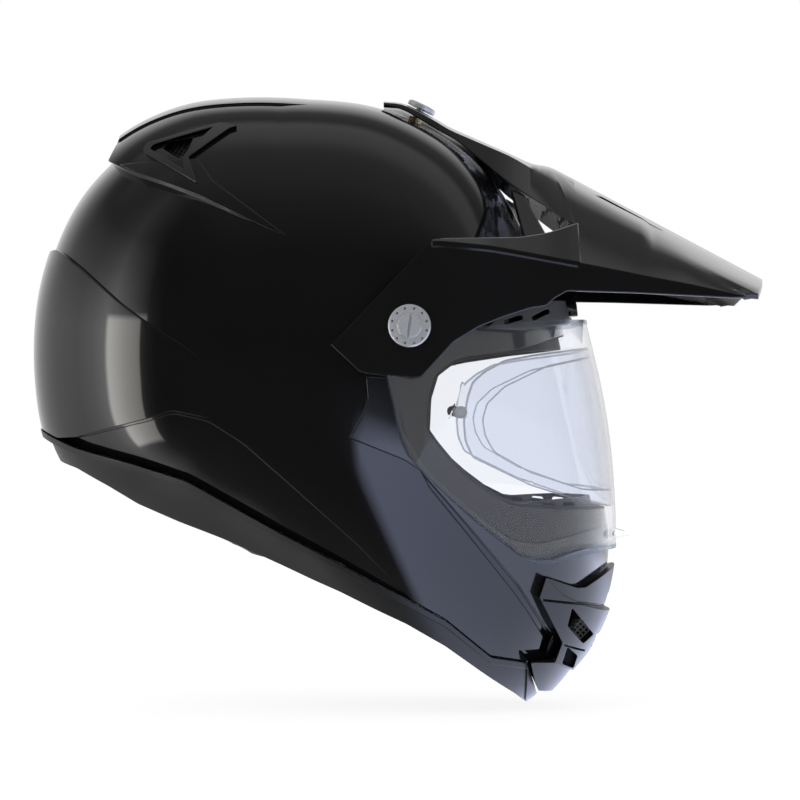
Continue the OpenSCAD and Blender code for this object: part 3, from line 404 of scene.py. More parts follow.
def patch(name, out, outline, corner, shift=FAIRING_SHIFT, fade=FAIRING_FADE, **block):
    """The part of a shifted skin that lies over an outline."""
    return carve(skin(name, out, shift=shift, fade=fade),
                 slab(name + "_area", outline, corner, **block), "INTERSECT")


def sink(piece, name, outline, floor, corner=0.0, wide=150, **how):
    """Sets an area of a piece back to a skin nearer the head."""
    carve(piece, carve(slab(name, outline, corner, -wide, wide),
                       skin(name + "_floor", floor, **how)))


black_lacquer = plastic("black_lacquer", (0.0035, 0.0035, 0.004), 0.16, coat=1, coat_rough=0.015,
                        edge=0.9, grain=0.0012, grain_size=160, shine=0.12)

shell = skin("shell_moulding", 0)
carve(shell, patch("fairing", 0, FAIRING, 1), "UNION")
crown_band = patch("crown_band", 1.1, CROWN_BAND, 4, low=60, high=160, along="Z")
carve(shell, carve(crown_band, slab("band_end", FAIRING, 1), "INTERSECT"), "UNION")
carve(shell, patch("wedge", 1.1, WEDGE, 0.5), "UNION")
carve(shell, patch("rear_panel", 0, REAR_PANEL, 2, (-3.6, 0, -1.2), (-22, -62)), "UNION")
sink(shell, "skirt", LOW_SKIRT, -1.2, 3)
carve(shell, skin("hollow", -4, steps=160))
carve(shell, slab("eye_port_cut", EYE_PORT, 3))
below_trim = [(-190, -40), *TRIM_TOP, (230, -178), (230, -300), (-190, -300)]
carve(shell, slab("trim_cut", below_trim, 0, -150, 150))
sink(shell, "cover_recess", COVER_SIDE, -3.3, 0.4, steps=160)
sink(shell, "seam_groove", SEAM_GROOVE, -2.6, 0.3, steps=160)
mouth = [(120, -128), (220, -128), (220, -172), (120, -172)]
carve(shell, slab("mouth_opening", mouth, 0, -32, 32))
for hand in (-1, 1):
    carve(shell, slab("vent_opening", VENT_WINDOW, 0, hand * 65 - 25, hand * 65 + 25))
    carve(shell, disc("ear_pocket", (PIVOT[0], hand * 134.7, PIVOT[1]), 20, 23, 64))
    carve(shell, disc("plate_pocket", (PIVOT[0], hand * 131, PIVOT[1]), 20, 17, 64))
finish_piece(shell, "shell", black_lacquer, ["outer_shell"])

# ---- Bottom edge trim ----
# A satin plastic moulding clipped over the shell's lower edge all round the neck opening, with a
# lip at the back of the neck.
TRIM_LOW = [
    (138, -200), (133.7, -206), (124, -197), (110, -187), (84, -167.5), (62, -154.5),
    (45, -146.5), (25, -136.5), (10, -130), (-5, -123), (-35, -109.5), (-66, -98), (-90, -88),
    (-107, -78), (-126, -68), (-140, -64), (-155, -62)]
satin_black = plastic("satin_black", (0.011, 0.011, 0.012), 0.32, edge=0.8, grain=0.01,
                      grain_size=2600)
trim = skin("bottom_trim", 1.4)
carve(trim, skin("trim_lip", 1.4, shift=(-3, 0, -1)), "UNION")
carve(trim, skin("trim_inside", -8, steps=160))
carve(trim, slab("trim_band", [(x, z - 0.6) for x, z in TRIM_TOP] + TRIM_LOW, 1.5), "INTERSECT")
step_area = [(x, z - 4.2) for x, z in TRIM_TOP] + [(131, -260), (-165, -260)]
sink(trim, "trim_step", step_area, 0.5)
finish_piece(trim, "shell", satin_black, ["lower_trim"])

# ---- Chin cover ----
# A second moulding over the chin bar, with an ear that frames the shield; its edge follows a groove
# down the cheek to a slot.
chin_gloss = plastic("chin_gloss", (0.006, 0.0065, 0.008), 0.22, coat=1, coat_rough=0.06, edge=0.7,
                     grain=0.002, grain_size=300, shine=0.3)
VENT_HOLE = [
    (140.2, -128.4), (159, -135.2), (164, -135.2), (171, -131.3), (183, -123), (215, -121),
    (215, -215), (133.4, -215), (133.4, -177), (147.2, -178), (150.8, -166.5), (136.9, -140)]


def moulding(name, out, inside, area, side_out=None, steps=288):
    """The part of a layer between two skins that lies in a block."""
    sheet = skin(name, out, side_out, steps=steps)
    carve(sheet, skin(name + "_inside", inside, steps=160))
    return carve(sheet, area, "INTERSECT")


cover = moulding("chin_cover_moulding", 0.5, -3,
                 slab("cover_area", [(x * 0.998, z) for x, z in COVER_SIDE], 0.8))
carve(cover, slab("vent_hole", VENT_HOLE, 0.6))
sink(cover, "cover_groove", SEAM_GROOVE, -1.8, 0.3, steps=160)
finish_piece(cover, "shell", chin_gloss, ["chin_cover"])

# ---- Face shield and inner lens ----
# A clear moulded shield with a finger tab and a thicker rim, and a thin lens between two moulded
# beads, held behind it by two turning pins.
SHIELD_SIDE = [
    (166, 17), (163.5, 30), (150, 60), (100, 120), (0, 150), (-150, 0), (0, -170), (100, -215),
    (150, -190), (172, -160), (183, -130), (184, -105), (182.5, -75), (179, -43), (174.7, -18.7),
    (170.2, 0)]
SHIELD_POWER = ((0, 60, 300, 322, 345, 360), (3, 3, 2.4, 2.4, 3, 3))
SHIELD_EDGE = [(168, 17), (140, 15), (104, 11.5)] + [
    (PIVOT[0] + 18 * math.cos(math.radians(a)), PIVOT[1] + 18 * math.sin(math.radians(a)))
    for a in range(40, 201, 20)] + [
    (52, -18), (55, -31), (59, -50), (64, -61), (73, -71), (89, -86), (105, -100), (121, -112),
    (130, -119), (138, -121), (149, -121), (160, -118), (172, -115), (230, -112), (230, 17)]
TAB = [(182.4, -110.5), (182.6, -103.8), (190.5, -106), (192.6, -108), (186, -109.2)]
LENS_EDGE = [
    (168, 1), (132, -4), (116, -7), (105, -13), (98, -19), (95, -28), (93, -41), (94, -52),
    (98, -61), (131, -77), (159, -86), (176, -90), (230, -92), (230, 1)]
LENS_INNER = [
    (168, -4), (140, -10), (116, -21.5), (106, -31), (103.5, -40), (105, -49), (110, -58),
    (131, -70), (161, -80), (230, -86), (230, -2)]
LENS_PIN = (91.5, 127.4, -36)
EAR_BLOCK = [(-300, -300), (300, -300), (300, 300), (-300, 300)]
PIN_LEAN = 10
SHIELD_OUT = 127.76
shield_radius = side_radius(SHIELD_SIDE)


def clear_sheet(name, tint, rough):
    """Clear polycarbonate that lets light through to what is behind it, with a faint tint."""
    mat, tree, look = new_material(name)
    feed(tree, look, Base_Color=(*tint, 1), Roughness=rough, IOR=1.3, Transmission_Weight=1.0)
    shaded = add_node(tree, "LightPath").outputs["Is Shadow Ray"]
    mixed = blend_shaders(tree, shaded, look,
                          add_node(tree, "BsdfTransparent", Color=(*tint, 1)))
    feed(tree, tree.nodes["Material Output"], Surface=mixed.outputs[0])
    return mat


def shield_layer(name, outer, inner, outline, corner):
    """A sheet between two depths behind the shield's face, cut flat beside the ears."""
    layers = []
    for inwards in (outer, inner):
        layer = skin(name, -inwards, 5 - inwards, shield_radius, SHIELD_POWER, 224)
        half = SHIELD_OUT - inwards
        layers.append(carve(layer, slab("between_ears", EAR_BLOCK, 0, -half, half), "INTERSECT"))
    sheet = carve(*layers)
    return carve(sheet, slab(name + "_cut", outline, corner), "INTERSECT")


def shrink(outline, middle, share, far):
    """An outline drawn in towards a middle, its points ahead of the face moved out instead."""
    return [(middle[0] + (x - middle[0]) * (share if x < 200 else far),
             middle[1] + (z - middle[1]) * share) for x, z in outline]


def at_pins(piece, length, radius, sides):
    for hand in (-1, 1):
        place = (LENS_PIN[0], hand * LENS_PIN[1], LENS_PIN[2])
        carve(piece, disc("pin_hole", place, length, radius, sides, hand * PIN_LEAN))


clear_shield = clear_sheet("clear_shield", (0.94, 0.95, 0.975), 0.01)
shield = shield_layer("clear_face_shield", 0, 2.2, SHIELD_EDGE, 1.2)
carve(shield, disc("hub_hole", (PIVOT[0], 0, PIVOT[1]), 300, 10.3))
at_pins(shield, 16, 2.3, 24)
carve(shield, slab("finger_tab", TAB, 1, -16, 16), "UNION")
finish_piece(shield, "shield", clear_shield, ["face_shield"])

shield_rim = clear_sheet("shield_rim", (0.62, 0.67, 0.74), 0.12)
rim = shield_layer("shield_rim_bead", -0.35, 0.05, SHIELD_EDGE, 1.2)
carve(rim, slab("rim_window", shrink(SHIELD_EDGE, (110, -50), 0.965, 1.2), 1.2))
finish_piece(rim, "shield", shield_rim, ["face_shield"])

clear_lens = clear_sheet("clear_lens", (0.9, 0.92, 0.97), 0.02)
lens = shield_layer("antifog_lens", 2.8, 4, LENS_EDGE, 2)
at_pins(lens, 20, 3.7, 32)
finish_piece(lens, "shield", clear_lens, ["antifog_insert"])

bead_line = clear_sheet("bead_line", (0.5, 0.52, 0.55), 0.15)
for name, outline in (("lens_outer_bead", LENS_EDGE), ("lens_inner_bead", LENS_INNER)):
    bead = shield_layer(name, 2.5, 2.85, outline, 2)
    carve(bead, slab("bead_window", shrink(outline, (135, -45), 0.97, 1.3), 2))
    finish_piece(bead, "shield", bead_line, ["antifog_insert"])

# ---- Peak ----
# A gloss moulded peak: a faceted bill with two air slots, a spine back to the top screw, an arm on
# each pivot and a strut on each side, with an open window between them.
RIDGE_Z = [(49, 144.8), (60, 144.3), (78.4, 135.6), (86.6, 130.3), (123.4, 114), (136, 108.2),
           (145, 107.9), (160, 100), (271, 40.95)]
FACET_Z = [(49, 143.4), (60, 142.3), (78, 132.7), (86, 127.2), (122.4, 111.1), (167.2, 83.5),
           (212, 57.2), (253, 30.6)]
FACET_Y = [(49, 20), (60, 24), (78, 28), (86, 30), (122, 36), (167, 48), (212, 62), (253, 76)]
DECK_Z = [(49, 142), (60, 139.6), (80, 127), (91, 121), (112, 102.5), (123, 93), (157, 69.4),
          (222, 46.4), (253, 30.2)]
DECK_Y = [(49, 21), (60, 26), (80, 31), (91, 34), (112, 46), (123, 55), (157, 82), (222, 79),
          (253, 80)]
CREASE_Z = [(76, 57.5), (80, 57.8), (109, 55.1), (137, 50.4), (167, 45.4), (199, 39.4), (221, 35.7),
            (253, 29.3)]
EDGE_Z = [(156, 31), (188, 30.3), (221, 29), (248, 27.9), (253, 28.4)]
ARM_Y = [(10, 132), (96, 132), (108, 131), (124, 127.5), (140, 122), (157, 115), (188, 107),
         (221, 95), (253, 83)]
UPPER_Z = [(76, 58.4), (80, 59.2), (99, 59.6), (125, 60.4), (141, 63.5), (157, 69.4)]
UPPER_IN = [(76, 1), (80, 2), (99, 5), (125, 12), (141, 20), (157, 33)]
ARM_SIDE = [
    (20.6, 1), (73.3, 56.2), (77, 58), (109, 55.1), (137, 50.4), (158, 47), (158, 31), (151, 31),
    (144.2, 27.1), (139.3, 22.7), (130.4, 21.3), (115.8, 16.5), (101.9, 10.9), (88.2, 2.6),
    (77.7, -8.9), (70.3, -16.9), (41.4, -14.4), (35.4, -12.8)]
ARM_RIM = [
    (20.6, 1), (73.3, 56.2), (77, 58), (77, 54.5), (74, 52), (25, 1), (34, -8), (40, -11),
    (40, -14), (35.4, -12.8)]
STRUT = [(122, -54, 90), (129, -59, 86), (128, -112, 59), (140, -103, 61)]
TOP_SCREW = (70, 0, 139.4)
WALL = 3


def along(table, soften=3.0):
    """A measure along the peak, with the kinks between its points eased."""
    at, value = np.array(table, float).T
    grid = np.arange(at[0] - 25, at[-1] + 25.5, 0.5)
    line = np.interp(grid, at, value)
    line += np.minimum(grid - at[0], 0) * (value[1] - value[0]) / (at[1] - at[0])
    line += np.maximum(grid - at[-1], 0) * (value[-1] - value[-2]) / (at[-1] - at[-2])
    bell = np.exp(-0.5 * (np.arange(-12, 12.5, 0.5) / soften) ** 2)
    edge = len(bell) // 2
    eased = np.convolve(np.pad(line, edge, mode="edge"), bell / bell.sum(), "valid")
    return lambda x: float(np.interp(x, grid, eased))


def loft(name, outer, inner):
    """A closed sheet between two grids of points, in millimetres, with its edges walled."""
    rows, cols = len(outer), len(outer[0])
    points = [p for row in outer for p in row] + [p for row in inner for p in row]
    low = rows * cols
    faces = []
    for i in range(rows - 1):
        for j in range(cols - 1):
            a, b = i * cols + j, (i + 1) * cols + j
            faces += [(a, a + 1, b + 1, b), (low + a, low + b, low + b + 1, low + a + 1)]
    rim = (list(range(cols)) + [i * cols + cols - 1 for i in range(1, rows)]
           + [(rows - 1) * cols + j for j in range(cols - 2, -1, -1)]
           + [i * cols for i in range(rows - 2, 0, -1)])
    faces += [(a, low + a, low + b, b) for a, b in zip(rim, rim[1:] + rim[:1])]
    sheet = edit_mesh(name, points, faces)
    bpy.ops.mesh.normals_make_consistent(inside=False)
    bpy.ops.object.mode_set(mode="OBJECT")
    return sheet


ridge_z, facet_z, facet_y, deck_z, deck_y = map(along, (RIDGE_Z, FACET_Z, FACET_Y, DECK_Z, DECK_Y))
crease_z, edge_z, arm_y = map(along, (CREASE_Z, EDGE_Z, ARM_Y))
upper_z, upper_in = map(along, (UPPER_Z, UPPER_IN))


def mirrored_row(half, middle):
    """A row of points from the right side over the middle to the left side."""
    return [(x, -y, z) for x, y, z in half] + [middle] + [(x, y, z) for x, y, z in reversed(half)]


def bill_row(t, d):
    x, xr, xf = 157 + 96 * t, 144 + 126.5 * t, 150 + 111 * t
    fy, fz = facet_y(x), facet_z(x) + (4 * (1 - t) if xf < x else 0)
    return mirrored_row([
        (x, arm_y(x) - d, edge_z(x)),
        (x, arm_y(x) - d, crease_z(x) - d * 0.5),
        (x, (arm_y(x) + deck_y(x)) / 2 - d * 0.7, (crease_z(x) + deck_z(x)) / 2 + 0.7 - d * 0.8),
        (x, deck_y(x) - d * 0.5, deck_z(x) - d),
        ((x + xf) / 2, (deck_y(x) + fy) / 2 - d * 0.3, (deck_z(x) + fz) / 2 + 0.5 - d),
        (xf, fy - d * 0.2, fz - d),
        (xf + (xr - xf) * 0.35, fy * 0.72, fz + (ridge_z(xr) - fz) * 0.33 + 0.8 - d),
        (xf + (xr - xf) * 0.7, fy * 0.38, fz + (ridge_z(xr) - fz) * 0.68 + 0.8 - d)],
        (xr, 0, ridge_z(xr) - d))


def spine_row(x, d):
    return mirrored_row([
        (x, deck_y(x) - d * 0.4, deck_z(x) - (0.3 if d else 0)),
        (x, facet_y(x) - d * 0.7, facet_z(x) - d * 0.9),
        (x, facet_y(x) * 0.6, ridge_z(x) * 0.62 + facet_z(x) * 0.38 - d + 0.4),
        (x, facet_y(x) * 0.25, ridge_z(x) * 0.92 + facet_z(x) * 0.08 - d + 0.2)],
        (x, 0, ridge_z(x) - d))


def at_hand(points, hand):
    return [(x, hand * y, z) for x, y, z in points]


steps = [i / 32 for i in range(33)]
peak = loft("peak_moulding", *[[bill_row(t, d) for t in steps] for d in (0, WALL)])
carve(peak, loft("spine", *[[[(x, y, z - 0.2) for x, y, z in spine_row(49 + 110.3 * t, d)]
                             for t in steps] for d in (0, WALL)]), "UNION")
plan_x = [10, 60, 96] + [98 + 3 * i for i in range(21)]
corners = [Vector(p) for p in STRUT]
lean = (corners[2] - corners[0]).cross(corners[1] - corners[0]).normalized() * 1.6
for hand in (-1, 1):
    edge = [(x, hand * (arm_y(x) - 0.2)) for x in plan_x]
    inner = [(x, hand * (arm_y(x) - 0.2 - WALL)) for x in reversed(plan_x)]
    arm = carve(slab("arm_plan", edge + inner, 0, -60, 140, "Z"),
                slab("arm_side", ARM_SIDE, 0.8, -150, 150), "INTERSECT")
    edge = [(x, hand * (arm_y(x) - 0.4)) for x in plan_x]
    rim = carve(slab("rim_plan", edge + [(158, 0), (10, 0)], 0, -60, 140, "Z"),
                slab("rim_side", ARM_RIM, 0, -150, 150), "INTERSECT")
    carve(rim, skin("rim_clearance", 1.5, steps=160))
    carve(peak, carve(arm, rim, "UNION"), "UNION")
    rows = [76 + (82.7 * i) / 24 for i in range(25)]
    outer = [at_hand([(x, -arm_y(x), crease_z(x) - 2.4), (x, -arm_y(x), crease_z(x) + 0.6),
                      (x, -arm_y(x) + upper_in(x), upper_z(x) + 0.6)], hand) for x in rows]
    under = [at_hand([(x, -arm_y(x) + WALL, crease_z(x) - 2.4),
                      (x, -arm_y(x) + WALL, crease_z(x) - 0.9),
                      (x, -arm_y(x) + upper_in(x) + 1, upper_z(x) - 1.8)], hand) for x in rows]
    carve(peak, loft("arm_top", outer, under), "UNION")
    strut = [[at_hand([corners[i] + face * lean, corners[i + 1] + face * lean], hand)
              for i in (0, 2)] for face in (1, -1)]
    carve(peak, loft("strut", *strut), "UNION")
    carve(peak, disc("pivot_hole", (PIVOT[0], hand * 132, PIVOT[1]), 24, 6))
    air_slot = [(171, 27.5), (175, 20.5), (184, 21.5), (210, 26.4), (210, 27.6), (186, 28)]
    carve(peak, slab("air_slot", [(x, hand * y) for x, y in air_slot], 0.4, 50, 130, "Z"))
slot_cut = slab("top_slot", [(-10, -3.3), (10, -3.3), (10, 3.3), (-10, 3.3)], 3.2, -20, 20, "Z")
slot_cut.rotation_euler = (0, math.radians(26), 0)
slot_cut.location = [c * MM for c in TOP_SCREW]
bpy.context.view_layer.update()
carve(peak, slot_cut)
peak_gloss = plastic("peak_gloss", (0.0045, 0.0045, 0.005), 0.16, coat=1, coat_rough=0.03, edge=1.2,
                     grain=0.002, grain_size=260, shine=0.2)
finish_piece(peak, "peak", peak_gloss, ["peak"], 24)

# ---- Eye port gasket and breath deflector ----
# A soft rubber lip is set in the edge of the eye port, where the shield shuts on it. A slotted
# guard stands behind the shield's foot and keeps breath off it.
LIP_INSIDE = [(230 if x > 150 else 140 + (x - 140) * 0.97, -42 + (z + 42) * 0.965)
              for x, z in EYE_PORT]
LIP_STEP = [(x * 0.995 + 0.6, -42 + (z + 42) * 0.985) for x, z in EYE_PORT]
rubber = plastic("gasket_rubber", (0.02, 0.02, 0.022), 0.5, edge=0.8, grain=0.004, grain_size=1800)
gasket = moulding("eye_port_lip", -0.3, -9, slab(
    "lip_edge", [(x - (0.3 if x < 140 else 0), z) for x, z in EYE_PORT], 3))
carve(gasket, slab("lip_hole", LIP_INSIDE, 4))
sink(gasket, "lip_step", LIP_STEP, -3.5, 3, 140, steps=160)
finish_piece(gasket, "shell", rubber, ["eye_port_gasket"])

DEFLECTOR = [(111, -94), (124, -87), (150, -85), (230, -82), (230, -103), (180, -103), (150, -103),
             (123, -102)]
guard = moulding("breath_guard", -9.3, -11.8, slab("guard_edge", DEFLECTOR, 2), steps=224)
for x in (128, 140, 152):
    side_slot = [(x - 1.5, -90), (x + 5.5, -90.4), (x + 5.5, -87.4), (x - 1.5, -87)]
    carve(guard, slab("guard_slot", side_slot, 1.5, -100, 100))
for y in (-40, -24, -8, 8, 24, 40):
    front_slot = [(150, y - 4), (215, y - 4), (215, y + 4), (150, y + 4)]
    carve(guard, slab("guard_front_slot", front_slot, 0, -99, -96, "Z"))
guard_black = plastic("guard_black", (0.016, 0.017, 0.019), 0.4, edge=0.5, grain=0.01,
                      grain_size=2400)
finish_piece(guard, "shell", guard_black, ["breath_deflector"])

# ---- Brow vent and cap ----
# A low grey plastic moulding fixed on the shell over the brow, with two slots a side, and a black
# cap on its middle.
BROW = [(107, 10.6), (114, 17.8), (124, 21.8), (132, 24.3), (145, 27.3), (158, 28.3), (162, 20),
        (162, 16.2), (140, 12.2), (128, 9.7)]
BROW_SLOTS = [(118, 14.5, 126, 17), (134, 17, 142, 21)]
SLOT_HALF = 1.4
brow_grey = plastic("brow_grey", (0.075, 0.077, 0.082), 0.3, edge=0.6, grain=0.008, grain_size=2400)
brow = moulding("brow_moulding", 5.4, 0.3, slab("brow_edge", BROW, 0.8), steps=224)
for x0, z0, x1, z1 in BROW_SLOTS:
    span = math.hypot(x1 - x0, z1 - z0) / SLOT_HALF
    ux, uz = (x1 - x0) / span, (z1 - z0) / span
    mouth = [(x0 - ux - uz, z0 - uz + ux), (x0 - ux + uz, z0 - uz - ux),
             (x1 + ux + uz, z1 + uz - ux), (x1 + ux - uz, z1 + uz + ux)]
    for hand in (-1, 1):
        carve(brow, slab("brow_slot", mouth, 1.3, hand * 70 - 50, hand * 70 + 50))
carve(brow, slab("cap_seat", [(140, 18.5), (170, 18.5), (170, 40), (140, 40)], 0, -30, 30))
finish_piece(brow, "shell", brow_grey, ["brow_vent"])

CAP = [(146, 19.6), (156, 19.3), (165, 19.7), (165.5, 33.5), (162, 36), (158, 37.4), (152, 39.4),
       (146, 40)]
cap = slab("brow_dome", CAP, 1.2, -18, 18)
carve(cap, disc("cap_round", (PIVOT[0], 0, PIVOT[1]), 60, 98.4, 180), "INTERSECT")
bpy.ops.mesh.primitive_cone_add(vertices=96, radius1=18 * MM, radius2=17.4 * MM, depth=110 * MM,
                                location=(118.7 * MM, 0, 26 * MM), rotation=(0, math.pi / 2, 0))
round_end = bpy.context.object
bpy.ops.object.transform_apply()
carve(cap, round_end, "INTERSECT")
carve(cap, skin("cap_bed", 0.3, steps=160))
finish_piece(cap, "shell", black_lacquer, ["brow_cap"])

# ---- Rear vents ----
# A black plastic chevron stands on the shell on each side of the fairing. It is a rim round a
# recess, whose floor holds a wire mesh.
CHEVRON = [(-33.4, 125.6), (-43, 127.8), (-84, 116.4), (-86.6, 113), (-85.6, 110.2), (-54.5, 91.6),
           (-60, 106.8), (-37.5, 124.2)]
RECESS = [(-47, 125), (-80.5, 115), (-82.6, 112.6), (-62, 99.5), (-63.6, 107.4), (-59, 112.4)]
VENT_MIDDLE = (-66.5, 112.5)
vent_black = plastic("vent_black", (0.007, 0.007, 0.008), 0.28, coat=0.6, coat_rough=0.1, edge=0.8,
                     grain=0.004, grain_size=900)
mesh_black = plastic("mesh_black", (0.03, 0.03, 0.032), 0.35, metal=0.4)


def wire_mesh(name, middle, tilts, count, gap, radius, length, sides):
    """Crossed rows of round wires in the side view, joined into one piece."""
    wires = []
    for i in range(count):
        for tilt in tilts:
            off, turn = (i - (count - 1) / 2) * gap, math.radians(tilt + 90)
            spot = (middle[0] + off * math.cos(turn), middle[1],
                    middle[2] + off * math.sin(turn))
            bpy.ops.mesh.primitive_cylinder_add(
                vertices=sides, radius=radius * MM, depth=length * MM,
                location=[c * MM for c in spot], rotation=(0, math.radians(90 - tilt), 0))
            wires.append(bpy.context.object)
    pick(wires[0])
    for wire in wires:
        wire.select_set(True)
    bpy.ops.object.join()
    wires[0].name = name
    bpy.ops.object.transform_apply()
    return wires[0]


fairing = {"shift": FAIRING_SHIFT, "fade": FAIRING_FADE}
window = [(x + (0.5 if x < -66 else -0.5), z - 0.4) for x, z in VENT_WINDOW]
for hand, node in ((-1, "rear_vent_right"), (1, "rear_vent_left")):
    near, far = hand * 75 - 60, hand * 75 + 60
    chevron = skin(node + "_rim", 2.0, steps=224, **fairing)
    carve(chevron, skin("rim_floor", -3.4, steps=160, **fairing))
    carve(chevron, slab("rim_edge", CHEVRON, 0.8, near + 5, far - 5), "INTERSECT")
    carve(chevron, carve(slab("recess", RECESS, 0.8, near, far),
                         skin("recess_floor", -1.6, steps=160, **fairing)))
    carve(chevron, slab("mesh_window", window, 0, near, far))
    finish_piece(chevron, "shell", vent_black, [node])
    width = half_width(*VENT_MIDDLE)
    middle = (VENT_MIDDLE[0], hand * (width + 1.6), VENT_MIDDLE[1])
    wire = wire_mesh(node + "_mesh", middle, (58, -32), 8, 2.3, 0.4, 20, 10)
    for corner in wire.data.vertices:
        lean = half_width(corner.co.x / MM, corner.co.z / MM) - width
        corner.co.y += hand * (lean - 1.2) * MM
    finish_piece(wire, "shell", mesh_black, [node])

# ---- Mouth vent ----
# A faceted satin moulding wedges into the chin, proudest at its middle, with an upper and a lower
# intake a side and a slotted grille behind them.
FRONT = [
    (140.6, -129), (159, -135.8), (164, -135.8), (171, -131.9), (184, -124.2), (185, -133),
    (185, -146), (184, -152), (180, -152), (179, -162), (175, -166), (172, -164), (171, -173),
    (169, -179), (167, -177), (160, -184), (148, -198), (138, -196), (135.4, -190), (132.6, -178.2),
    (146.9, -178.8), (150.9, -167.2), (137, -140.4)]
UPPER_INTAKE = [(156, -147), (153.5, -157.5), (163.5, -169), (170, -164)]
LOWER_INTAKE = [(154, -170), (151, -180), (158.5, -184), (160.5, -176)]
vent_grey = plastic("vent_grey", (0.022, 0.0235, 0.027), 0.33, edge=0.7, grain=0.01,
                    grain_size=2400)
vent = moulding("mouth_vent_frame", 9, -3, slab("vent_front", FRONT, 0.6), side_out=3)
facet = [(141, -129), (160, -134), (171, -131), (186, -123), (186, -152), (176, -150), (163, -146),
         (150, -139)]
sink(vent, "upper_face", facet, 5.2, 1, 140, side_out=2.2)
lower_face = [(134, -178), (148, -180), (160, -186), (172, -180), (172, -200), (134, -200)]
sink(vent, "lower_face", lower_face, 6.4, 1, 140, side_out=1.6)
for hand in (-1, 1):
    for name, outline in (("upper_intake", UPPER_INTAKE), ("lower_intake", LOWER_INTAKE)):
        carve(vent, slab(name, outline, 1, hand * 58 - 34, hand * 58 + 34))
for z in (-149, -172):
    front = [(0, z), (240, z), (240, z + 8), (0, z + 8)]
    carve(vent, slab("front_intake", front, 0, -20, 20))
for line in ([(139, -141), (166, -145), (183, -149), (183, -150.2), (166, -146.3), (139, -142.4)],
             [(152, -168), (165, -173), (165, -174.2), (152, -169.3)]):
    sink(vent, "seam", line, 3.6, 0, 140, side_out=0.6, steps=160)
finish_piece(vent, "shell", vent_grey, ["mouth_vent_frame"])

# Painted light: the intake screens' wires are coloured a light grey so that they look lit where
# they sit in the shade of the intake.
painted_lit_wire = plastic("painted_lit_wire", (0.6, 0.61, 0.62), 0.4, metal=0.3)
for hand, side in ((-1, "right"), (1, "left")):
    middle = (161, hand * 29, -158.5)
    screen = wire_mesh("intake_mesh_" + side, middle, (45, -45), 7, 2.4, 0.45, 15, 8)
    finish_piece(screen, "shell", painted_lit_wire, ["mouth_vent_frame"])

# ---- Cheek pads, crown pad and neck roll ----
# Foam cushions in brushed knit, each blown up a little inside its cover so that the cloth is tight
# between its seams. The neck roll then hangs a little along its lower side, and a round piping
# follows the rim of each cheek pad.
NAP_HEIGHT = 0.25


def cloth(name, colour, rough, thread, ribs=0.0):
    """Knitted or woven cloth: crossed threads, a soft nap, painted shade in the hollows and painted
    light on the tops.
    """
    mat, tree, look = new_material(name)
    where = add_node(tree, "TexCoord").outputs["Object"]
    waves = []
    for turn in (0.7, -0.7):
        spin = add_node(tree, "Mapping", Vector=where, Rotation=(0, turn, turn))
        wave = add_node(tree, "TexWave", Vector=spin.outputs["Vector"], Scale=thread,
                        Distortion=0.6)
        waves.append(wave.outputs["Fac"])
    height = reckon(tree, "MULTIPLY", *waves)
    if ribs:
        rib = add_node(tree, "TexWave", Vector=where, Scale=ribs)
        height = reckon(tree, "ADD", height, reckon(tree, "MULTIPLY", rib.outputs["Fac"], 1.5))
    fuzz = add_node(tree, "TexNoise", Vector=where, Scale=140, Detail=4)
    height = reckon(tree, "ADD", height, reckon(tree, "MULTIPLY", fuzz.outputs["Fac"], 0.6))
    bump = add_node(tree, "Bump", Strength=0.8, Distance=NAP_HEIGHT * MM, Height=height)
    # Painted shade and light: the base colour follows the bump height, darker in the thread hollows
    # and lighter on the raised threads. The fuzz noise in that height also varies it at random.
    tone = add_node(tree, "MixRGB", height, (*[c * 0.6 for c in colour], 1),
                    (*[c * 1.3 for c in colour], 1))
    feed(tree, look, Roughness=rough, Sheen_Weight=0.35, Sheen_Roughness=0.5,
         Specular_IOR_Level=0.15, Normal=bump.outputs["Normal"], Base_Color=tone.outputs["Color"])
    return mat


VOXEL = 4.5
START_IN = 1.6
SIM_FRAMES = 20


def cushion(node, material, tight):
    """The cover of a CAD cushion, blown up by a short cloth simulation and smoothed."""
    source = nodes[node]
    pad = source.copy()
    pad.data = source.data.copy()
    pad.name = node + "_cover"
    bpy.context.collection.objects.link(pad)
    pad.parent = None
    pad.matrix_world = source.matrix_world
    pick(pad)
    bpy.ops.object.transform_apply()
    bpy.ops.object.mode_set(mode="EDIT")
    bpy.ops.mesh.select_all(action="SELECT")
    bpy.ops.mesh.remove_doubles(threshold=0.00002)
    bpy.ops.object.mode_set(mode="OBJECT")
    remesh = pad.modifiers.new("even_mesh", "REMESH")
    remesh.mode = "VOXEL"
    remesh.voxel_size = VOXEL * MM
    bpy.ops.object.modifier_apply(modifier=remesh.name)
    smaller = pad.modifiers.new("start_smaller", "DISPLACE")
    smaller.strength = -START_IN * MM
    smaller.mid_level = 0
    bpy.ops.object.modifier_apply(modifier=smaller.name)
    sim = pad.modifiers.new("blown", "CLOTH")
    sim.settings.quality = 4
    sim.settings.use_pressure = True
    sim.settings.uniform_pressure_force = tight
    sim.settings.effector_weights.gravity = 0
    sim.point_cache.frame_start, sim.point_cache.frame_end = 1, SIM_FRAMES
    for frame_number in range(1, SIM_FRAMES + 1):
        scene.frame_set(frame_number)
    bpy.ops.object.modifier_apply(modifier=sim.name)
    finer = pad.modifiers.new("finer", "SUBSURF")
    finer.levels = finer.render_levels = 1
    bpy.ops.object.modifier_apply(modifier=finer.name)
    finish_piece(pad, "shell", material, [node], 80)
    return pad


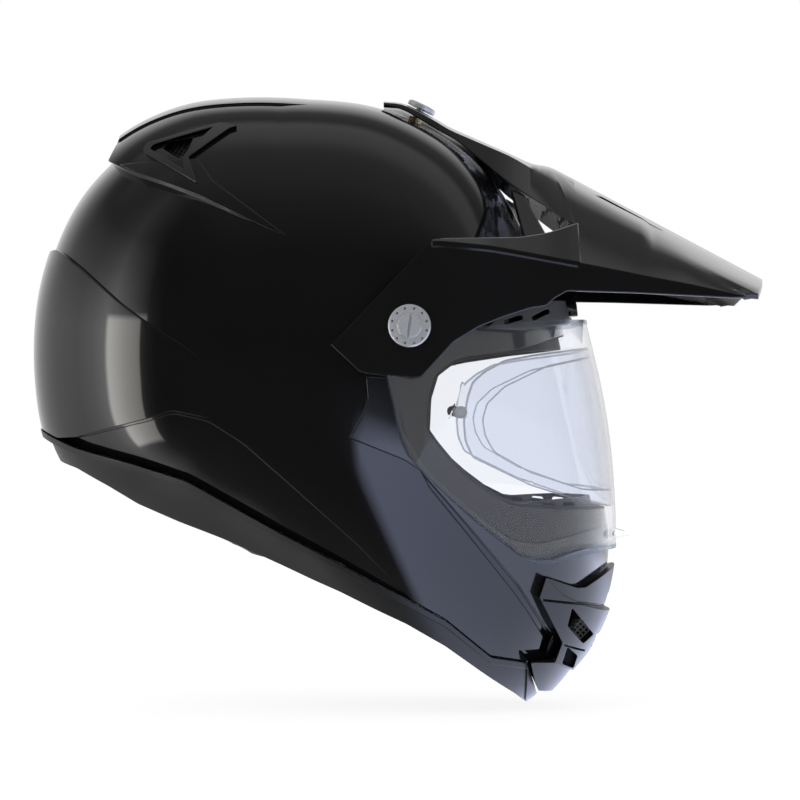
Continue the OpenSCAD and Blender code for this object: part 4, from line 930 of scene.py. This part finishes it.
def tube(name, points, radius, closed=False, fineness=3):
    """A round cord through a row of points, in millimetres, as a mesh."""
    curve = bpy.data.curves.new(name, "CURVE")
    curve.dimensions = "3D"
    curve.bevel_depth = radius * MM
    curve.bevel_resolution = fineness
    curve.use_fill_caps = True
    line = curve.splines.new("POLY")
    line.points.add(len(points) - 1)
    for spot, p in zip(line.points, points):
        spot.co = (*[c * MM for c in p], 1)
    line.use_cyclic_u = closed
    cord = bpy.data.objects.new(name, curve)
    bpy.context.collection.objects.link(cord)
    pick(cord)
    bpy.ops.object.convert(target="MESH")
    return bpy.context.object


knit = cloth("brushed_knit", (0.022, 0.022, 0.024), 0.9, 420)
woven = cloth("woven_lining", (0.05, 0.05, 0.053), 0.85, 300, ribs=60)
ROLL_BOTTOM = ((-110, -90, -70, -50, -30, -10, 10), (-78, -86, -97, -102, -111, -118, -123))
ROLL_SAG = ((-120, -90, -50, -25, 11), (0, 2.5, 4.5, 5, 3))
SAG_HEIGHT = 24
cushion("crown_pad", knit, 3.5)
roll = cushion("neck_roll", woven, 5)
for spot in roll.data.vertices:
    x, z = spot.co.x / MM, spot.co.z / MM
    above = (z - np.interp(x, *ROLL_BOTTOM)) / SAG_HEIGHT
    spot.co.z -= np.interp(x, *ROLL_SAG) * np.clip(1 - above, 0, 1) * MM
REACH = [(0, 48), (40, 34), (80, 34), (120, 44), (160, 54), (200, 52), (225, 38), (248, 34),
         (262, 46), (285, 47), (310, 45), (360, 48)]
for hand, node in ((-1, "cheek_pad_right"), (1, "cheek_pad_left")):
    cushion(node, knit, 4)
    for k in (5.2, 3.9):
        ring = []
        for i in range(72):
            a = math.radians(i * 5)
            reach = float(np.interp(i * 5, *zip(*REACH))) * k / 6
            x, z = 54 + reach * math.cos(a), -84 + 0.9 * reach * math.sin(a)
            wall = half_width(x, z, -12.4) - max(0, -85 - z) * 0.37
            depth = 34 * (0.3 + 0.7 * math.sqrt(1 - (k / 6) ** 4)) * (0.97 if k < 5 else 1)
            ring.append((x, hand * (wall - depth), z))
        piping = tube(node + ("_piping" if k > 5 else "_seam"), ring, 1.1 if k > 5 else 0.7, True)
        finish_piece(piping, "shell", knit, [node], 80)

# ---- Chin straps ----
# Two woven straps come down inside the shell from riveted ends; the left one ends in a sewn loop
# round the bars of both rings, and rows of thread hold its turned end.
STRAP_X, STRAP_W, STRAP_T = 28, 25, 2.4
RING_BAR = (30, -119.8)
BARS_REACH = 3.35
LOOP_GAP = 0.3


def strap_wall(z):
    return -min(half_width(STRAP_X + s * STRAP_W, z, -5.8) for s in (-0.5, 0, 0.5))


def band(name, path, width=STRAP_W):
    """A flat band laid along a path of (y, z) points, with a fuller middle and thin edges."""
    path = np.array(path, float)
    way = np.concatenate([[0], np.cumsum(np.hypot(*np.diff(path, axis=0).T))])
    spots = np.arange(0, way[-1], 2.0)
    fine = np.stack([np.interp(spots, way, path[:, i]) for i in (0, 1)], 1)
    for _ in range(3):
        fine[1:-1] = (fine[:-2] + 2 * fine[1:-1] + fine[2:]) / 4
    slope = np.gradient(fine, axis=0)
    slope /= np.hypot(*slope.T)[:, None]
    side = np.stack([-slope[:, 1], slope[:, 0]], 1)
    across = [-0.5, -0.47, -0.4, -0.2, 0, 0.2, 0.4, 0.47, 0.5]
    share = [0.25, 0.42, 0.5, 0.5, 0.5, 0.5, 0.5, 0.42, 0.25]
    grids = [[[(STRAP_X + a * width, *(p + face * s * STRAP_T * n)) for a, s in zip(across, share)]
              for p, n in zip(fine, side)] for face in (1, -1)]
    return loft(name, *grids)


webbing = cloth("webbing", (0.014, 0.014, 0.015), 0.75, 700, ribs=160)
thread = plastic("thread", (0.06, 0.06, 0.062), 0.6)
down = [(strap_wall(-70) + 1.2, -57)] + [(strap_wall(z) + 1.2, z) for z in range(-70, -111, -10)]
across_chin = [(strap_wall(-112) + 8, -115.6), (-78, -119.8), (-56, -121.8)]
right = band("chin_strap_right_web", down + across_chin + [(-4.5, -124.8)])
finish_piece(right, "shell", webbing, ["chin_strap_right"], 60)
left = band("chin_strap_left_web", [(-y, z) for y, z in down + across_chin + [(-46, -122)]])
loop_r = BARS_REACH + LOOP_GAP + STRAP_T / 2
turned = [math.radians(a) for a in range(-90, 91, 15)]
loop = [(RING_BAR[0] + 17, RING_BAR[1] - 2.4)] + [
    (RING_BAR[0] - loop_r * math.cos(a), RING_BAR[1] + loop_r * math.sin(a)) for a in turned] + [
    (RING_BAR[0] + 17, RING_BAR[1] - 0.2)]
sewn = band("strap_loop", loop, STRAP_W - 4)
for piece in (left, sewn):
    finish_piece(piece, "shell", webbing, ["chin_strap_left"], 60)
for name, z in (("bar_tack_below", RING_BAR[1] - 3.7), ("bar_tack_above", RING_BAR[1] + 1.1)):
    stitches = [(STRAP_X + (i - 12) * 0.8, 43.5 + 1.3 * (-1) ** i, z) for i in range(25)]
    tack = tube(name, stitches, 0.25, fineness=2)
    finish_piece(tack, "shell", thread, ["chin_strap_left"], 60)

# ---- Pieces that keep their solids ----
# Turned alloy screws, plastic hubs and pins, steel rings and rivets, and the plates, nuts and
# bushes inside keep their exact CAD shapes. Each gets the finish that the record names for it.
finishes = {
    "gloss_shell": black_lacquer, "gloss_peak": peak_gloss, "chin_gloss": chin_gloss,
    "satin_trim": satin_black, "satin_vent": vent_grey, "brow_silver": brow_grey,
    "clear_shield": clear_shield, "clear_insert": clear_lens, "soft_rubber": rubber,
    "liner_foam": plastic("bead_foam", (0.02, 0.02, 0.021), 0.85, grain=0.25, grain_size=420),
    "pad_cloth": knit, "roll_cloth": woven, "strap_web": webbing,
    "hub_plastic": plastic("hub_plastic", (0.35, 0.37, 0.4), 0.3, edge=0.3),
    "pin_plastic": plastic("pin_plastic", (0.3, 0.31, 0.34), 0.3, edge=0.3),
    "insert_brass": plastic("insert_brass", (0.6, 0.45, 0.2), 0.35, metal=0.8),
    "screw_alloy": plastic("turned_alloy", (0.5, 0.51, 0.53), 0.3, metal=0.5, edge=0.25,
                           grain=0.004, grain_size=900),
    "ring_steel": plastic("ring_steel", (0.6, 0.61, 0.63), 0.2, metal=0.8),
    "rivet_steel": plastic("rivet_steel", (0.15, 0.15, 0.155), 0.35, metal=0.8, edge=0.3),
}
slots = {s["node"]: s["material_slot"] for s in frame["record"]["subparts"]}
for name, solid in nodes.items():
    solid.data.materials.clear()
    solid.data.materials.append(finishes[slots[name]])
